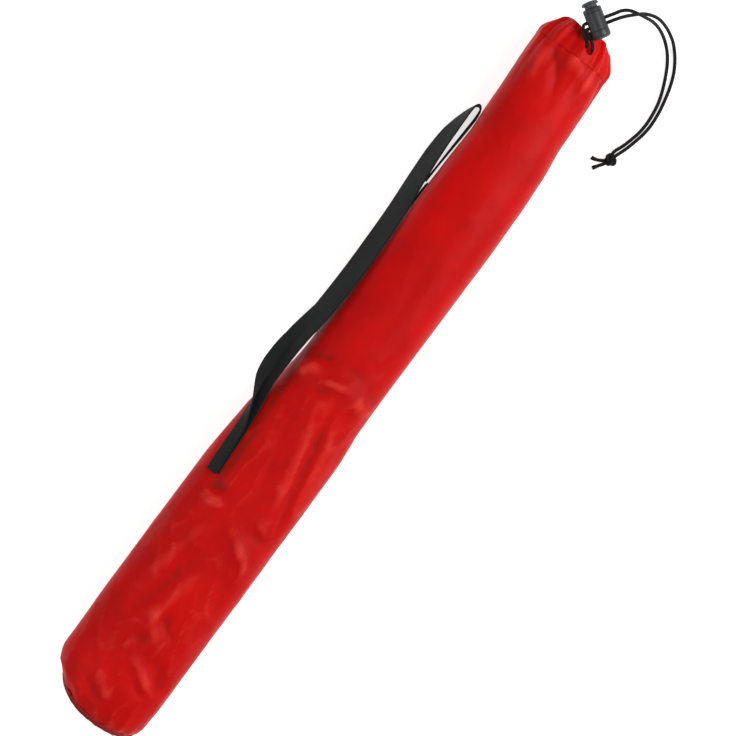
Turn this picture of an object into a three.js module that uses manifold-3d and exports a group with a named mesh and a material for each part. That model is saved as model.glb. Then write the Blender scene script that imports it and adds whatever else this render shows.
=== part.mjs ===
// A packed windsock kit: a telescopic pole with the windsock rolled round it, inside a drawstring
// carry bag that lies on its side. Millimetres, +Z up, +X from the bag's base to its mouth and +Y
// to the side that carries the strap. The origin is on the ground under the middle of the bag.
import * as THREE from 'three';
import { mergeVertices } from 'three/addons/utils/BufferGeometryUtils.js';
import Module from 'manifold-3d';

const wasm = await Module();
wasm.setup();

// ---------------------------------------------------------------- driving dimensions
const bagLength = 755;          // base seam to rim
const bagHeight = 60;           // lying height of the fat lower half
const bagUpperHeight = 62;      // lying height of the upper half
const bagLowerHalf = 52;        // half width where the hoop lies
const bagUpperHalf = 42;        // half width beyond the hoop
const fabric = 1.0;             // bag cloth with its coating and seam layers
const sectionPower = 2.4;       // squareness of the bag's cross-section
const flatSag = 1.5;            // how far the section is pressed flat on the ground
const axisHeight = 31;          // height of the pole's axis

const mouthRadius = 24;         // clear radius of the half-closed mouth
const hemDepth = 24;            // length of the casing along the bag
const hemOuter = mouthRadius + 3; // outer radius at the rim
const cordDiameter = 3.2;
const channelClear = 0.5;      // cord to casing
const gap = 0.3;                // between pieces that touch

const lowerTubeOD = 28;
const middleTubeOD = 24;
const upperTubeOD = 20;
const tubeWall = 1.2;
const tubeLength = 600;         // visible length of the lower tube
const collarWall = 3.5;         // collar beyond the lower tube
const collarLength = 36;
const footRoom = 35;            // bag's base to the lower tube

const boreClear = 1;            // rolled windsock to the collars that it slides over
const rollClear = 2.5;          // roll to bag cloth
const rollRoom = 24;            // bag's base to the roll
const rollLength = 657;
const tiePlaces = [441, 581];   // the roll's ties, from the bag's base
const tieWidth = 20;
const tieThick = 1;
const hoopWire = 4;
const hoopRoom = 29;            // bag's base to the hoop
const hoopLength = 300;         // long side of the throat hoop, pressed flat
const hoopHeight = 34;          // its short side, between the wire's middles
const hoopClear = 1.6;          // hoop to bag cloth and to the roll

const barrelOD = 17;
const barrelLength = 28.5;
const barrelBore = 12;
const buttonTravel = 2.5;
const buttonCap = 15.4;         // outer diameter of the button's head
const strandPitch = 5.2;        // between the two strands inside the lock
const lockHeight = axisHeight + hemOuter + 8; // the lock lies on the casing

const webWidth = 25;
const webThick = 1.6;

// ---------------------------------------------------------------- derived places
const bagStart = -bagLength / 2 - 3.5;
const bagEnd = bagStart + bagLength;
const hemStart = bagEnd - hemDepth;
const poleAxis = new THREE.Vector3(0, 0, axisHeight);
const collarOD = lowerTubeOD + 2 * collarWall;
const poleStart = bagStart + footRoom;
const rollBore = collarOD + 2 * boreClear;
const rollStart = bagStart + rollRoom;
const rollEnd = rollStart + rollLength;
const hoopStart = bagStart + hoopRoom;

// ---------------------------------------------------------------- helpers
const part = new THREE.Group();
const v3 = (x, y, z) => new THREE.Vector3(x, y, z);

function addMesh(name, geometry, color, roughness, metalness = 0) {
  const mesh = new THREE.Mesh(geometry, new THREE.MeshStandardMaterial({ color, roughness, metalness }));
  mesh.name = name;
  part.add(mesh);
  return mesh;
}

function signedVolume(points, faces) {
  const cross = v3(0, 0, 0);
  return faces.reduce((sum, [a, b, c]) => (
    sum + cross.crossVectors(points[b], points[c]).dot(points[a]) / 6), 0);
}

// A closed skin over rings of points: capped at both ends, or looped from the last ring to the first.
function skin(rings, looped = false) {
  const count = rings[0].length;
  const points = rings.flat();
  const faces = [];
  const last = looped ? rings.length : rings.length - 1;
  for (let i = 0; i < last; i += 1) {
    const here = i * count;
    const next = ((i + 1) % rings.length) * count;
    for (let j = 0; j < count; j += 1) {
      const k = (j + 1) % count;
      faces.push([here + j, next + j, next + k], [here + j, next + k, here + k]);
    }
  }
  if (!looped) {
    for (const [start, flip] of [[0, false], [(rings.length - 1) * count, true]]) {
      const middle = v3(0, 0, 0);
      for (let j = 0; j < count; j += 1) middle.addScaledVector(points[start + j], 1 / count);
      const centre = points.push(middle) - 1;
      for (let j = 0; j < count; j += 1) {
        const k = (j + 1) % count;
        faces.push(flip ? [centre, start + k, start + j] : [centre, start + j, start + k]);
      }
    }
  }
  if (signedVolume(points, faces) < 0) faces.forEach((face) => face.reverse());
  const geometry = new THREE.BufferGeometry().setFromPoints(points);
  geometry.setIndex(faces.flat());
  return geometry;
}

function toManifold(geometry) {
  const plain = geometry.clone();
  plain.deleteAttribute('normal');
  plain.deleteAttribute('uv');
  const merged = mergeVertices(plain, 1e-4);
  return new wasm.Manifold(new wasm.Mesh({
    numProp: 3,
    vertProperties: new Float32Array(merged.attributes.position.array),
    triVerts: new Uint32Array(merged.index.array),
  }));
}

function fromManifold(solid) {
  const mesh = solid.getMesh();
  const geometry = new THREE.BufferGeometry();
  geometry.setAttribute('position', new THREE.BufferAttribute(new Float32Array(mesh.vertProperties), 3));
  geometry.setIndex(new THREE.BufferAttribute(new Uint32Array(mesh.triVerts), 1));
  return geometry;
}

const cut = (body, ...tools) => fromManifold(tools.reduce((left, tool) => left.subtract(toManifold(tool)),
  toManifold(body)));

// A turned piece on the pole's axis. The outline is [x, radius] pairs that close on themselves.
function turned(outline, sides = 24) {
  const points = outline.map(([x, r]) => new THREE.Vector2(r, x));
  points.push(points[0].clone());
  const geometry = new THREE.LatheGeometry(points, sides);
  const solid = toManifold(geometry);
  const upright = solid.volume() < 0 ? flipped(geometry) : geometry;
  upright.rotateZ(-Math.PI / 2);
  return upright;
}

function flipped(geometry) {
  const index = geometry.index.array;
  for (let i = 0; i < index.length; i += 3) [index[i + 1], index[i + 2]] = [index[i + 2], index[i + 1]];
  return geometry;
}

const sleeve = (x0, x1, outer, inner, sides = 24) => turned(
  [[x0, inner], [x0, outer], [x1, outer], [x1, inner]], sides);

// A round tube along a smooth curve through the points.
function tubeAlong(points, diameter, steps, closed = false, sides = 8) {
  const shape = new THREE.Shape();
  for (let i = 0; i < sides; i += 1) {
    const turn = (2 * Math.PI * (i + 0.5)) / sides;
    const place = [Math.cos(turn) * diameter / 2, Math.sin(turn) * diameter / 2];
    if (i === 0) shape.moveTo(...place);
    else shape.lineTo(...place);
  }
  const path = new THREE.CatmullRomCurve3(points, closed, 'centripetal');
  return new THREE.ExtrudeGeometry(shape, { steps, extrudePath: path, bevelEnabled: false });
}

// ---------------------------------------------------------------- the bag's outer form
// Stations along the bag: [distance from the base, side shift, half width, height].
const stations = [
  [0, -3, bagLowerHalf - 13, bagHeight - 12],
  [5, -2, bagLowerHalf - 7, bagHeight - 7],
  [14, 0, bagLowerHalf - 3, bagHeight - 3],
  [40, 2, bagLowerHalf, bagHeight],
  [140, 3, bagLowerHalf + 0.5, bagHeight],
  [250, 3.5, bagLowerHalf, bagHeight],
  [310, 2, bagLowerHalf - 2, bagHeight],
  [350, -1, bagUpperHalf + 1.5, bagHeight + 1],
  [385, -2, bagUpperHalf, bagUpperHeight],
  [540, -2, bagUpperHalf, bagUpperHeight],
  [590, -2, bagUpperHalf - 1, bagUpperHeight],
  [625, -1.5, bagUpperHalf - 2.5, bagUpperHeight],
  [660, -0.5, bagUpperHalf - 4, bagUpperHeight],
  [715, 0, bagUpperHalf - 4, bagUpperHeight],
  [hemStart - bagStart, 0, bagUpperHalf - 4.5, bagUpperHeight],
];

function bagForm(x) {
  const s = THREE.MathUtils.clamp(x - bagStart, 0, stations[stations.length - 1][0]);
  let i = 0;
  while (i < stations.length - 2 && stations[i + 1][0] < s) i += 1;
  const [a, b] = [stations[i], stations[i + 1]];
  const t = THREE.MathUtils.smoothstep(s, a[0], b[0]) * 0.5 + 0.5 * (s - a[0]) / (b[0] - a[0]);
  return [1, 2, 3].map((k) => a[k] + (b[k] - a[k]) * t);
}

const power = (value) => Math.sign(value) * Math.abs(value) ** (2 / sectionPower);

// A point of the bag's section at x, moved in (or out) by inset, never below the inset's own floor.
function bagPoint(x, angle, inset) {
  const [shift, half, height] = bagForm(x);
  const rise = height / 2 + flatSag;
  return v3(x, shift + (half - inset) * power(Math.cos(angle)),
    Math.max(inset, height / 2 - flatSag + (rise - inset) * power(Math.sin(angle))));
}

function bagRing(x, inset, sides) {
  return Array.from({ length: sides }, (_, j) => bagPoint(x, (2 * Math.PI * (j + 0.5)) / sides, inset));
}

function bagStationsBetween(x0, x1) {
  const places = [0, 5, 14, 40, 90, 140, 195, 250, 280, 310, 330, 350, 368, 385, 460, 540, 590, 625,
    660, 690].map((s) => s + bagStart);
  return [x0, ...places.filter((x) => x > x0 + 2 && x < x1 - 2), x1];
}

// ---------------------------------------------------------------- bag
function makeBag() {
  const sides = 30;
  const places = bagStationsBetween(bagStart, hemStart - gap);
  const outer = places.map((x) => bagRing(x, 0, sides));
  const inner = places.map((x) => bagRing(x, fabric, sides)).reverse();
  addMesh('bag_body', skin([...outer, ...inner], true), 0xb81614, 0.62);

  const panel = [0, fabric].map((step) => bagRing(bagStart, fabric + gap, sides)
    .map((point) => point.setX(bagStart + 0.2 + step)));
  addMesh('base_panel', skin(panel), 0xa81412, 0.62);

  const binding = [[-gap, 0], [-gap, 1.9], [-1.7, 1.9], [-1.7, 0]];
  const bindingRings = binding.map(([shift, inset]) => bagRing(bagStart, inset, sides)
    .map((point) => point.setX(bagStart + shift)));
  addMesh('base_binding', skin(bindingRings, true), 0x7d0f0f, 0.7);
}

// Half width and half height of the casing round the pole's axis, at a share t of its depth.
const hemOut = (t) => [
  THREE.MathUtils.lerp(bagUpperHalf - 4.5, hemOuter, t ** 2.2),
  THREE.MathUtils.lerp(bagUpperHeight / 2, hemOuter, t ** 2.2),
];
const channelPlace = 0.46;
const channelInset = fabric + cordDiameter / 2 + channelClear;
const cordRingHalf = () => hemOut(channelPlace).map((half) => half - channelInset);

function hemRing(t, halves, sides) {
  return Array.from({ length: sides }, (_, j) => {
    const turn = (2 * Math.PI * (j + 0.5)) / sides;
    return v3(hemStart + t * hemDepth, halves[0] * power(Math.cos(turn)),
      axisHeight + halves[1] * power(Math.sin(turn)));
  });
}

// The exit slit is centred on the top of the casing, a little to the far side.
const slitPlace = v3(hemStart + channelPlace * hemDepth, -3, axisHeight);

function casingPoint(turn) {
  const [a, b] = cordRingHalf();
  return v3(slitPlace.x, a * power(Math.cos(turn)), axisHeight + b * power(Math.sin(turn)));
}

function makeMouth() {
  const sides = 32;
  const shares = [0, 0.25, 0.5, 0.75, 0.92, 1];
  const outer = shares.map((t) => hemRing(t, hemOut(t), sides));
  const innerHalf = (t) => [
    THREE.MathUtils.lerp(cordRingHalf()[0] - cordDiameter / 2 - channelClear - fabric, mouthRadius, t),
    mouthRadius,
  ];
  const inner = shares.map((t) => hemRing(t, innerHalf(t), sides)).reverse();
  const casing = skin([...outer, ...inner], true);

  const channelRadius = cordDiameter / 2 + channelClear;
  const round = Array.from({ length: 48 }, (_, j) => casingPoint((2 * Math.PI * (j + 0.5)) / 48));
  const channel = tubeAlong(round, 2 * channelRadius, 48, true, 8);
  const slit = new THREE.BoxGeometry(8, 14, 8);
  slit.rotateZ(-0.75);
  slit.translate(slitPlace.x + 2, slitPlace.y, axisHeight + cordRingHalf()[1] + 3.6);
  addMesh('mouth_hem', cut(casing, channel, slit), 0xb01513, 0.65);

  const halfOpening = 0.16;
  const slitTurn = Math.PI / 2 + 0.11;
  const steps = 44;
  const ring = Array.from({ length: steps + 1 }, (_, j) => casingPoint(
    slitTurn + halfOpening + ((2 * Math.PI - 2 * halfOpening) * j) / steps));
  addMesh('casing_cord', tubeAlong(ring, cordDiameter, steps), 0x1d1e20, 0.85);
}

// ---------------------------------------------------------------- cord lock and its cord
const lockAlong = v3(0.536, 0.844, 0).normalize();        // the barrel's axis, towards its button
const lockThrough = v3(0.844, -0.536, 0).normalize();     // the way the strands pass through
const lockCentre = v3(bagEnd + 9, 4, lockHeight);
const lockFrame = new THREE.Matrix4().makeBasis(lockAlong, lockThrough.clone().negate(), v3(0, 0, 1))
  .setPosition(lockCentre);
const inLock = (along, through, up) => lockCentre.clone().addScaledVector(lockAlong, along)
  .addScaledVector(lockThrough, through).setZ(lockHeight + up);

// Places on the free cord are given from the rim.
const fromRim = (x, y, z) => v3(bagEnd + x, y, z);
const knotCentre = fromRim(-75.4, -79, 4.75);

// The chosen routes of the two strands, from the slit through the lock and down to the knot.
function strandRoutes() {
  const side = strandPitch / 2;
  const run = [-11.5, -4, 4, 11, 17];
  const first = [
    v3(slitPlace.x + 0.5, -1, slitTop()), v3(slitPlace.x + 2, -0.4, slitTop() + 2.2),
    v3(slitPlace.x + 5, 3.3, 63.2), v3(slitPlace.x + 8.4, 8.8, 65.4),
    ...run.map((through) => inLock(side, through, 0)),
    fromRim(31.3, -7, 65), fromRim(35.5, -12.2, 63.8), fromRim(38.2, -19.5, 60),
    fromRim(40.6, -27.3, 52), fromRim(43.3, -35.3, 37.5), fromRim(43.2, -44.3, 24),
    fromRim(40, -52.9, 13), fromRim(34.2, -61, 5.5), fromRim(27, -67.3, 2.4),
    fromRim(17.7, -72.8, 1.75), fromRim(4.3, -79, 1.75), fromRim(-8.5, -83.3, 1.75),
    fromRim(-20, -85.2, 1.75), fromRim(-30, -85.9, 1.75), fromRim(-40, -85.2, 1.75),
    fromRim(-50, -83, 1.9), fromRim(-58.5, -80.6, 2.8), fromRim(-68.3, -77.2, 4.6),
  ];
  const second = [
    v3(slitPlace.x + 0.5, -7, slitTop()), v3(slitPlace.x + 2, -6.4, slitTop() + 2),
    v3(slitPlace.x + 5.5, -3.2, 62.8), v3(slitPlace.x + 8.6, 2.2, 65),
    ...run.map((through) => inLock(-side, through, 0)),
    fromRim(28.3, -11.6, 63.2), fromRim(34.2, -16.3, 57.4), fromRim(39, -20.4, 52),
    fromRim(43.3, -24.6, 46.5), fromRim(46.8, -30, 39.5), fromRim(49.2, -36.5, 33),
    fromRim(49.6, -45, 21.5), fromRim(47.6, -53, 12.5), fromRim(43.2, -61.3, 5.8),
    fromRim(34.7, -70, 2.3), fromRim(23.8, -77.3, 1.75), fromRim(11.8, -82.4, 1.75),
    fromRim(-2.2, -86.3, 1.75), fromRim(-15.7, -88.9, 1.75), fromRim(-29, -89.9, 1.75),
    fromRim(-39.5, -89, 1.75), fromRim(-50.5, -86.7, 1.9), fromRim(-59.5, -84.3, 2.8),
    fromRim(-68.3, -81.1, 4.6),
  ];
  return [first, second];
}

const slitTop = () => axisHeight + cordRingHalf()[1] + 0.4;

function makeCords() {
  const names = ['cord_strand_upper', 'cord_strand_lower'];
  strandRoutes().forEach((route, i) => {
    addMesh(names[i], tubeAlong(route, cordDiameter, 60), 0x1d1e20, 0.85);
  });

  const knot = new THREE.SphereGeometry(1, 14, 9);
  knot.scale(6.4, 6.6, 4.6);
  knot.translate(...knotCentre);
  addMesh('cord_knot', knot, 0x1d1e20, 0.85);

  const tails = [
    [fromRim(-80.2, -73, 3.6), fromRim(-81.8, -69.8, 2.4), fromRim(-83, -66, 1.75),
      fromRim(-83.2, -63.8, 1.75)],
    [fromRim(-82.3, -75.9, 3.4), fromRim(-85, -74, 2.2), fromRim(-88.6, -71.6, 1.75),
      fromRim(-90.6, -70.4, 1.75)],
  ];
  tails.forEach((points, i) => {
    addMesh(`cord_tail_${i + 1}`, tubeAlong(points, cordDiameter, 6), 0x1d1e20, 0.85);
  });
}

// A piece turned on x, moved from the pole's axis to the lock's.
const atLock = (geometry) => geometry.applyMatrix4(lockFrame);

function makeLock() {
  const slotHeight = cordDiameter + 0.9;
  const slotWidth = strandPitch + cordDiameter + 0.8;
  const half = barrelLength / 2;
  const floorThick = 2;
  const barrelRadius = barrelOD / 2;
  const capEnd = half + buttonTravel + 3.6;
  const barrel = turned([
    [-half, 0.9], [-half, barrelRadius - 1.8], [-half + 1.8, barrelRadius], [half - 1, barrelRadius],
    [half, barrelRadius - 1], [half, barrelBore / 2], [-half + floorThick, barrelBore / 2],
    [-half + floorThick, 0.9],
  ], 22);
  const slot = new THREE.BoxGeometry(slotWidth, barrelOD + 4, slotHeight);
  addMesh('lock_barrel', atLock(cut(barrel, slot)), 0x26292c, 0.45);

  const plungerRadius = barrelBore / 2 - gap;
  const plungerStart = -slotWidth / 2 - 1.4;
  const plunger = turned([
    [plungerStart, 2.4], [plungerStart, plungerRadius], [half + buttonTravel, plungerRadius],
    [half + buttonTravel, buttonCap / 2], [capEnd - 1.4, buttonCap / 2], [capEnd, buttonCap / 2 - 1.6],
    [capEnd, 0.8], [half - 2, 0.8], [half - 2, 2.4],
  ], 22);
  const window = new THREE.BoxGeometry(slotWidth + buttonTravel, barrelOD, slotHeight);
  window.translate(buttonTravel / 2 - 0.2, 0, 0);
  addMesh('lock_plunger', atLock(cut(plunger, window)), 0x3c3e40, 0.5);

  const springWire = 0.7;
  const springRadius = barrelBore / 2 - 1.6;
  const turns = 3.5;
  const springStart = -half + floorThick + gap + springWire / 2;
  const springEnd = plungerStart - gap - springWire / 2;
  const coil = Array.from({ length: turns * 10 + 1 }, (_, i) => {
    const turn = (2 * Math.PI * i) / 10;
    const along = springStart + ((springEnd - springStart) * i) / (turns * 10);
    return v3(along, springRadius * Math.cos(turn), springRadius * Math.sin(turn));
  });
  addMesh('lock_spring', atLock(tubeAlong(coil, springWire, turns * 10, false, 5)), 0xb8bcc0, 0.3, 1);
}

// ---------------------------------------------------------------- carry strap
// A flat band through stations of centre, the direction across it and its two sizes.
function band(list) {
  return skin(list.map(({ at, across, width, thick }, i) => {
    const next = list[Math.min(i + 1, list.length - 1)].at;
    const ahead = next.clone().sub(list[Math.max(i - 1, 0)].at).normalize();
    const side = across.clone().addScaledVector(ahead, -across.dot(ahead)).normalize();
    const up = v3(0, 0, 0).crossVectors(ahead, side).normalize();
    return [[-1, -1], [1, -1], [1, 1], [-1, 1]].map(([a, b]) => at.clone()
      .addScaledVector(side, (a * width) / 2).addScaledVector(up, (b * thick) / 2));
  }));
}

// The height of the bag's upper side at a place across it.
function bagTop(x, y) {
  const [shift, half, height] = bagForm(x);
  const share = Math.min(0.999, Math.abs(y - shift) / half);
  return height / 2 - flatSag + (height / 2 + flatSag) * (1 - share ** sectionPower) ** (1 / sectionPower);
}

// Strap stations: [distance from the bag's base, y, z, tilt of the width below +Y in degrees, share of
// the full width].
const onBag = (s, y, lift, tilt, share) => [s, y, bagTop(bagStart + s, y) + lift, tilt, share];
const shoulder = bagTop(bagStart + 315, 43);
const strapRoute = [
  onBag(243, 38, 3.1, 25, 0.5), onBag(269, 39.5, 3.1, 27, 0.5), onBag(291, 40.5, 3.6, 31, 0.52),
  onBag(315, 43, 5.2, 38, 0.6), [336, 47, shoulder + 2.6, 46, 0.78], [356, 48, shoulder - 0.8, 49, 0.95],
  [381, 48.5, 47, 48, 1], [416, 46.5, 45.5, 45, 1], [456, 45.5, 44, 45, 1], [491, 46, 41, 46, 1],
  [526, 47.5, 36, 49, 1], [561, 50.5, 29, 53, 1], [591, 52.5, 22.5, 56, 1], [613, 52.5, 18.5, 62, 1],
  [629, 51, 16, 72, 1], [639, 49.4, 14.8, 82, 1], [645.5, 47.2, 14.2, 88, 1], [647.5, 44.6, 14.1, 90, 1],
  [645.5, 42, 14.3, 91, 1], [638, 40.6, 15, 92, 1], [621, 40.9, 16.5, 92, 1], [601, 41.7, 18.2, 91, 1],
  [581, 42.3, 19.8, 90, 1], [565, 42.6, 21, 90, 1],
];

function makeStrap() {
  const rad = THREE.MathUtils.degToRad;
  const curve = (pick) => new THREE.CatmullRomCurve3(strapRoute.map(pick), false, 'centripetal');
  const centre = curve(([s, y, z]) => v3(bagStart + s, y, z));
  const steps = 58;
  const list = Array.from({ length: steps + 1 }, (_, i) => {
    const u = i / steps;
    const at = centre.getPoint(u);
    const place = u * (strapRoute.length - 1);
    const k = Math.min(Math.floor(place), strapRoute.length - 2);
    const mix = (n) => THREE.MathUtils.lerp(strapRoute[k][n], strapRoute[k + 1][n], place - k);
    const tilt = rad(mix(3));
    const width = webWidth * mix(4);
    return { at, across: v3(0, Math.cos(tilt), -Math.sin(tilt)), width, thick: webThick };
  });
  addMesh('carry_strap', band(list), 0x1b1c1e, 0.9);
}

// A sewn tab lies on the bag's cloth between two places along it and two angles of its section.
function clothPatch(start, end, angle0, angle1, lift, thick) {
  const across = 5;
  const along = 4;
  const row = (i, rise) => Array.from({ length: across + 1 }, (_, j) => bagPoint(
    bagStart + start + ((end - start) * i) / along, angle0 + ((angle1 - angle0) * j) / across, -rise));
  const ring = (i) => [...row(i, lift), ...row(i, lift + thick).reverse()];
  return skin(Array.from({ length: along + 1 }, (_, i) => ring(i)));
}

function makeTabs() {
  addMesh('strap_tab_lower', clothPatch(231, 273, 0.78, 1.16, gap, 1.1), 0x1b1c1e, 0.9);
  addMesh('strap_tab_upper', clothPatch(531, 563, -0.32, 0.12, gap, 1.1), 0x1b1c1e, 0.9);
}

// ---------------------------------------------------------------- telescopic pole
const lowerEnd = poleStart + tubeLength;
const clearRadius = (outer) => outer / 2 - tubeWall;

// Grip ribs on a locking collar, as a wavy outline round the axis.
function ribbedCollar(x0, x1, outer, bore) {
  const sides = 32;
  const ring = (x, radius, rib) => Array.from({ length: sides }, (_, j) => {
    const turn = (2 * Math.PI * j) / sides;
    const r = radius - (j % 4 < 2 ? 0 : rib);
    return v3(x, r * Math.cos(turn), axisHeight + r * Math.sin(turn));
  });
  const edge = 3;
  return skin([
    ring(x0, bore, 0), ring(x0, outer - 2, 0), ring(x0 + edge, outer, 0), ring(x0 + edge + 0.6, outer, 1),
    ring(x1 - edge - 0.6, outer, 1), ring(x1 - edge, outer, 0), ring(x1, outer - 2.5, 0), ring(x1, bore, 0),
  ], true);
}

const onPole = (geometry) => geometry.translate(poleAxis.x, poleAxis.y, poleAxis.z);

function makePole() {
  const alloy = [0xb9bcc0, 0.35, 0.9];
  const plastic = [0x222426, 0.6];
  const collars = [lowerEnd - 8, lowerEnd + collarLength - 6];
  const upperEnd = collars[1] + collarLength + 8;
  const inset = 14;

  addMesh('pole_tube_lower', onPole(sleeve(poleStart, lowerEnd, lowerTubeOD / 2,
    clearRadius(lowerTubeOD))), ...alloy);
  addMesh('pole_tube_middle', onPole(sleeve(poleStart + inset, collars[1] + 12, middleTubeOD / 2,
    clearRadius(middleTubeOD))), ...alloy);
  addMesh('pole_tube_upper', onPole(sleeve(poleStart + 2 * inset, upperEnd, upperTubeOD / 2,
    clearRadius(upperTubeOD))), ...alloy);

  addMesh('pole_collar_lower', collarPiece(collars[0], lowerTubeOD / 2, middleTubeOD / 2, lowerEnd),
    ...plastic);
  addMesh('pole_collar_middle', collarPiece(collars[1], middleTubeOD / 2, upperTubeOD / 2, collars[1] + 12),
    ...plastic);

  const addBush = (name, x, outerTube, innerTube) => addMesh(name, onPole(
    sleeve(x, x + 12, clearRadius(outerTube) - gap, innerTube / 2 + gap, 24)), 0xd8d4c8, 0.6);
  addBush('pole_bush_middle', poleStart + inset + 2, lowerTubeOD, middleTubeOD);
  addBush('pole_bush_upper', poleStart + 2 * inset + 2, middleTubeOD, upperTubeOD);

  const plugRadius = clearRadius(lowerTubeOD) - gap;
  addMesh('pole_foot_plug', onPole(turned([
    [poleStart - 6, 3], [poleStart - 6, lowerTubeOD / 2 - 1], [poleStart - gap, lowerTubeOD / 2 - 1],
    [poleStart - gap, plugRadius], [poleStart + 10, plugRadius], [poleStart + 10, 3],
  ])), ...plastic);
  const ferrule = lowerTubeOD / 2 + 2;
  const seat = lowerTubeOD / 2 + gap;
  addMesh('pole_foot_tip', onPole(turned([
    [poleStart - 12, 1.5], [poleStart - 12, ferrule - 3], [poleStart - 10, ferrule],
    [poleStart + 16, ferrule], [poleStart + 18, ferrule - 1], [poleStart + 18, seat],
    [poleStart - 6 - gap, seat], [poleStart - 6 - gap, 1.5],
  ])), 0x151617, 0.9);
  makeHead(upperEnd);
}

// A locking collar grips the outer tube on its first half and guides the inner tube beyond it.
function collarPiece(start, outerTube, innerTube, outerEnd) {
  const outer = collarOD / 2;
  const ribbed = ribbedCollar(start, start + collarLength, outer, outerTube + gap);
  const guideEnd = start + collarLength - 0.5;
  const guide = onPole(sleeve(outerEnd + gap, guideEnd, outerTube + gap + 1, innerTube + gap, 32));
  return fromManifold(toManifold(ribbed).add(toManifold(guide)));
}

// The bearing head on the top tube: plug, washer, turning hub, eye and the screw that keeps it on.
function makeHead(start) {
  const radius = upperTubeOD / 2;
  const spigot = 4;
  const hubStart = start + 3.6;
  const hubEnd = hubStart + 14;
  const plug = clearRadius(upperTubeOD) - gap;
  addMesh('head_plug', onPole(turned([
    [start - 20, 1.7], [start - 20, plug], [start + gap, plug], [start + gap, radius], [start + 2, radius],
    [start + 2, spigot], [hubEnd + 0.6, spigot], [hubEnd + 0.6, 1.7],
  ], 28)), 0x222426, 0.6);
  const washer = sleeve(start + 2.3, start + 3.3, radius - 1, spigot + gap, 28);
  addMesh('head_washer', onPole(washer), 0xc9ccd0, 0.3, 1);
  const hub = onPole(turned([
    [hubStart, spigot + gap], [hubStart, radius - 1], [hubStart + 2, radius + 1], [hubEnd - 2, radius + 1],
    [hubEnd, radius - 1], [hubEnd, spigot + gap],
  ], 28));
  const eye = new THREE.TorusGeometry(3.6, 1.2, 8, 20);
  eye.rotateX(Math.PI / 2);
  eye.translate(hubStart + 7, 0, axisHeight + radius + 3);
  addMesh('head_hub', fromManifold(toManifold(hub).add(toManifold(eye))), 0x2b2e31, 0.5);
  addMesh('head_screw', onPole(turned([
    [start - 10, 0.01], [start - 10, 1.4], [hubEnd + 0.9, 1.4], [hubEnd + 0.9, 6], [hubEnd + 2.4, 6],
    [hubEnd + 3.4, 4.6], [hubEnd + 3.4, 0.01],
  ], 24)), 0xc2c5c9, 0.3, 1);
}

// ---------------------------------------------------------------- rolled windsock
// The throat hoop is pressed to a long loop between the roll and the bag, on the strap's side.
const hoopEnd = hoopStart + hoopLength;
const rollInset = fabric + rollClear;

// The furthest place across the bag, inside its cloth, at a height above or below its middle.
function hoopPlace(x, rise) {
  const [shift, half, height] = bagForm(x);
  const share = (1 - (Math.abs(rise) / (height / 2 - fabric)) ** sectionPower) ** (1 / sectionPower);
  return shift + (half - fabric) * share - hoopClear - hoopWire / 2;
}

function rollRing(x, sides, inset = rollInset) {
  const beside = 1 - THREE.MathUtils.smoothstep(x, hoopEnd + 6, hoopEnd + 45);
  const [shift, half] = bagForm(x);
  const limit = hoopPlace(x, hoopHeight / 2) - hoopWire / 2 - hoopClear - shift;
  const share = THREE.MathUtils.lerp(1, Math.min(1, limit / (half - inset)), beside);
  return bagRing(x, inset, sides).map((point) => (
    point.y > shift ? point.setY(shift + (point.y - shift) * share) : point));
}

function makeRoll() {
  const sides = 28;
  const places = bagStationsBetween(rollStart, rollEnd);
  const outer = places.map((x) => rollRing(x, sides));
  const bore = [rollEnd, rollStart].map((x) => Array.from({ length: sides }, (_, j) => {
    const turn = (2 * Math.PI * (j + 0.5)) / sides;
    return v3(x, (rollBore / 2) * Math.cos(turn), axisHeight + (rollBore / 2) * Math.sin(turn));
  }));
  addMesh('windsock_roll', skin([...outer, ...bore], true), 0xe2571c, 0.75);

  tiePlaces.forEach((place, i) => {
    const x = bagStart + place;
    const tape = [[0, gap], [0, gap + tieThick], [tieWidth, gap + tieThick], [tieWidth, gap]];
    const rings = tape.map(([step, lift]) => bagRing(x + step, rollInset - lift, sides));
    addMesh(`roll_tie_${i + 1}`, skin(rings, true), 0x232527, 0.9);
  });
}

function makeHoop() {
  const bend = hoopHeight / 2;
  const middle = bagHeight / 2 - flatSag;
  const straight = 7;
  const edge = (side, from, to) => Array.from({ length: straight }, (_, i) => [
    THREE.MathUtils.lerp(from, to, i / (straight - 1)), side * bend]);
  const round = (x, first) => [1, 2, 3].map((i) => {
    const turn = first - (Math.PI * i) / 4;
    return [x + bend * Math.cos(turn), bend * Math.sin(turn)];
  });
  const [near, far] = [hoopStart + bend, hoopEnd - bend];
  const outline = [...edge(1, near, far), ...round(far, Math.PI / 2), ...edge(-1, far, near),
    ...round(near, -Math.PI / 2)];
  const points = outline.map(([x, rise]) => (
    v3(x, hoopPlace(x, Math.max(bend, Math.abs(rise))), middle + rise)));
  addMesh('throat_hoop', tubeAlong(points, hoopWire, 56, true), 0xc4c8cc, 0.3, 1);
}

makeBag();
makeMouth();
makeCords();
makeLock();
makeStrap();
makeTabs();
makePole();
makeRoll();
makeHoop();

export default part;
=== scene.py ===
"""A packed windsock kit: a red drawstring carry bag on its side, with its strap, cord lock and
drawstring, and inside it a telescopic pole with the windsock rolled round it."""

import math
from contextlib import contextmanager

import bmesh
import bpy
import numpy as np
from mathutils import Matrix, Vector, noise
from mathutils.bvhtree import BVHTree


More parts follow.
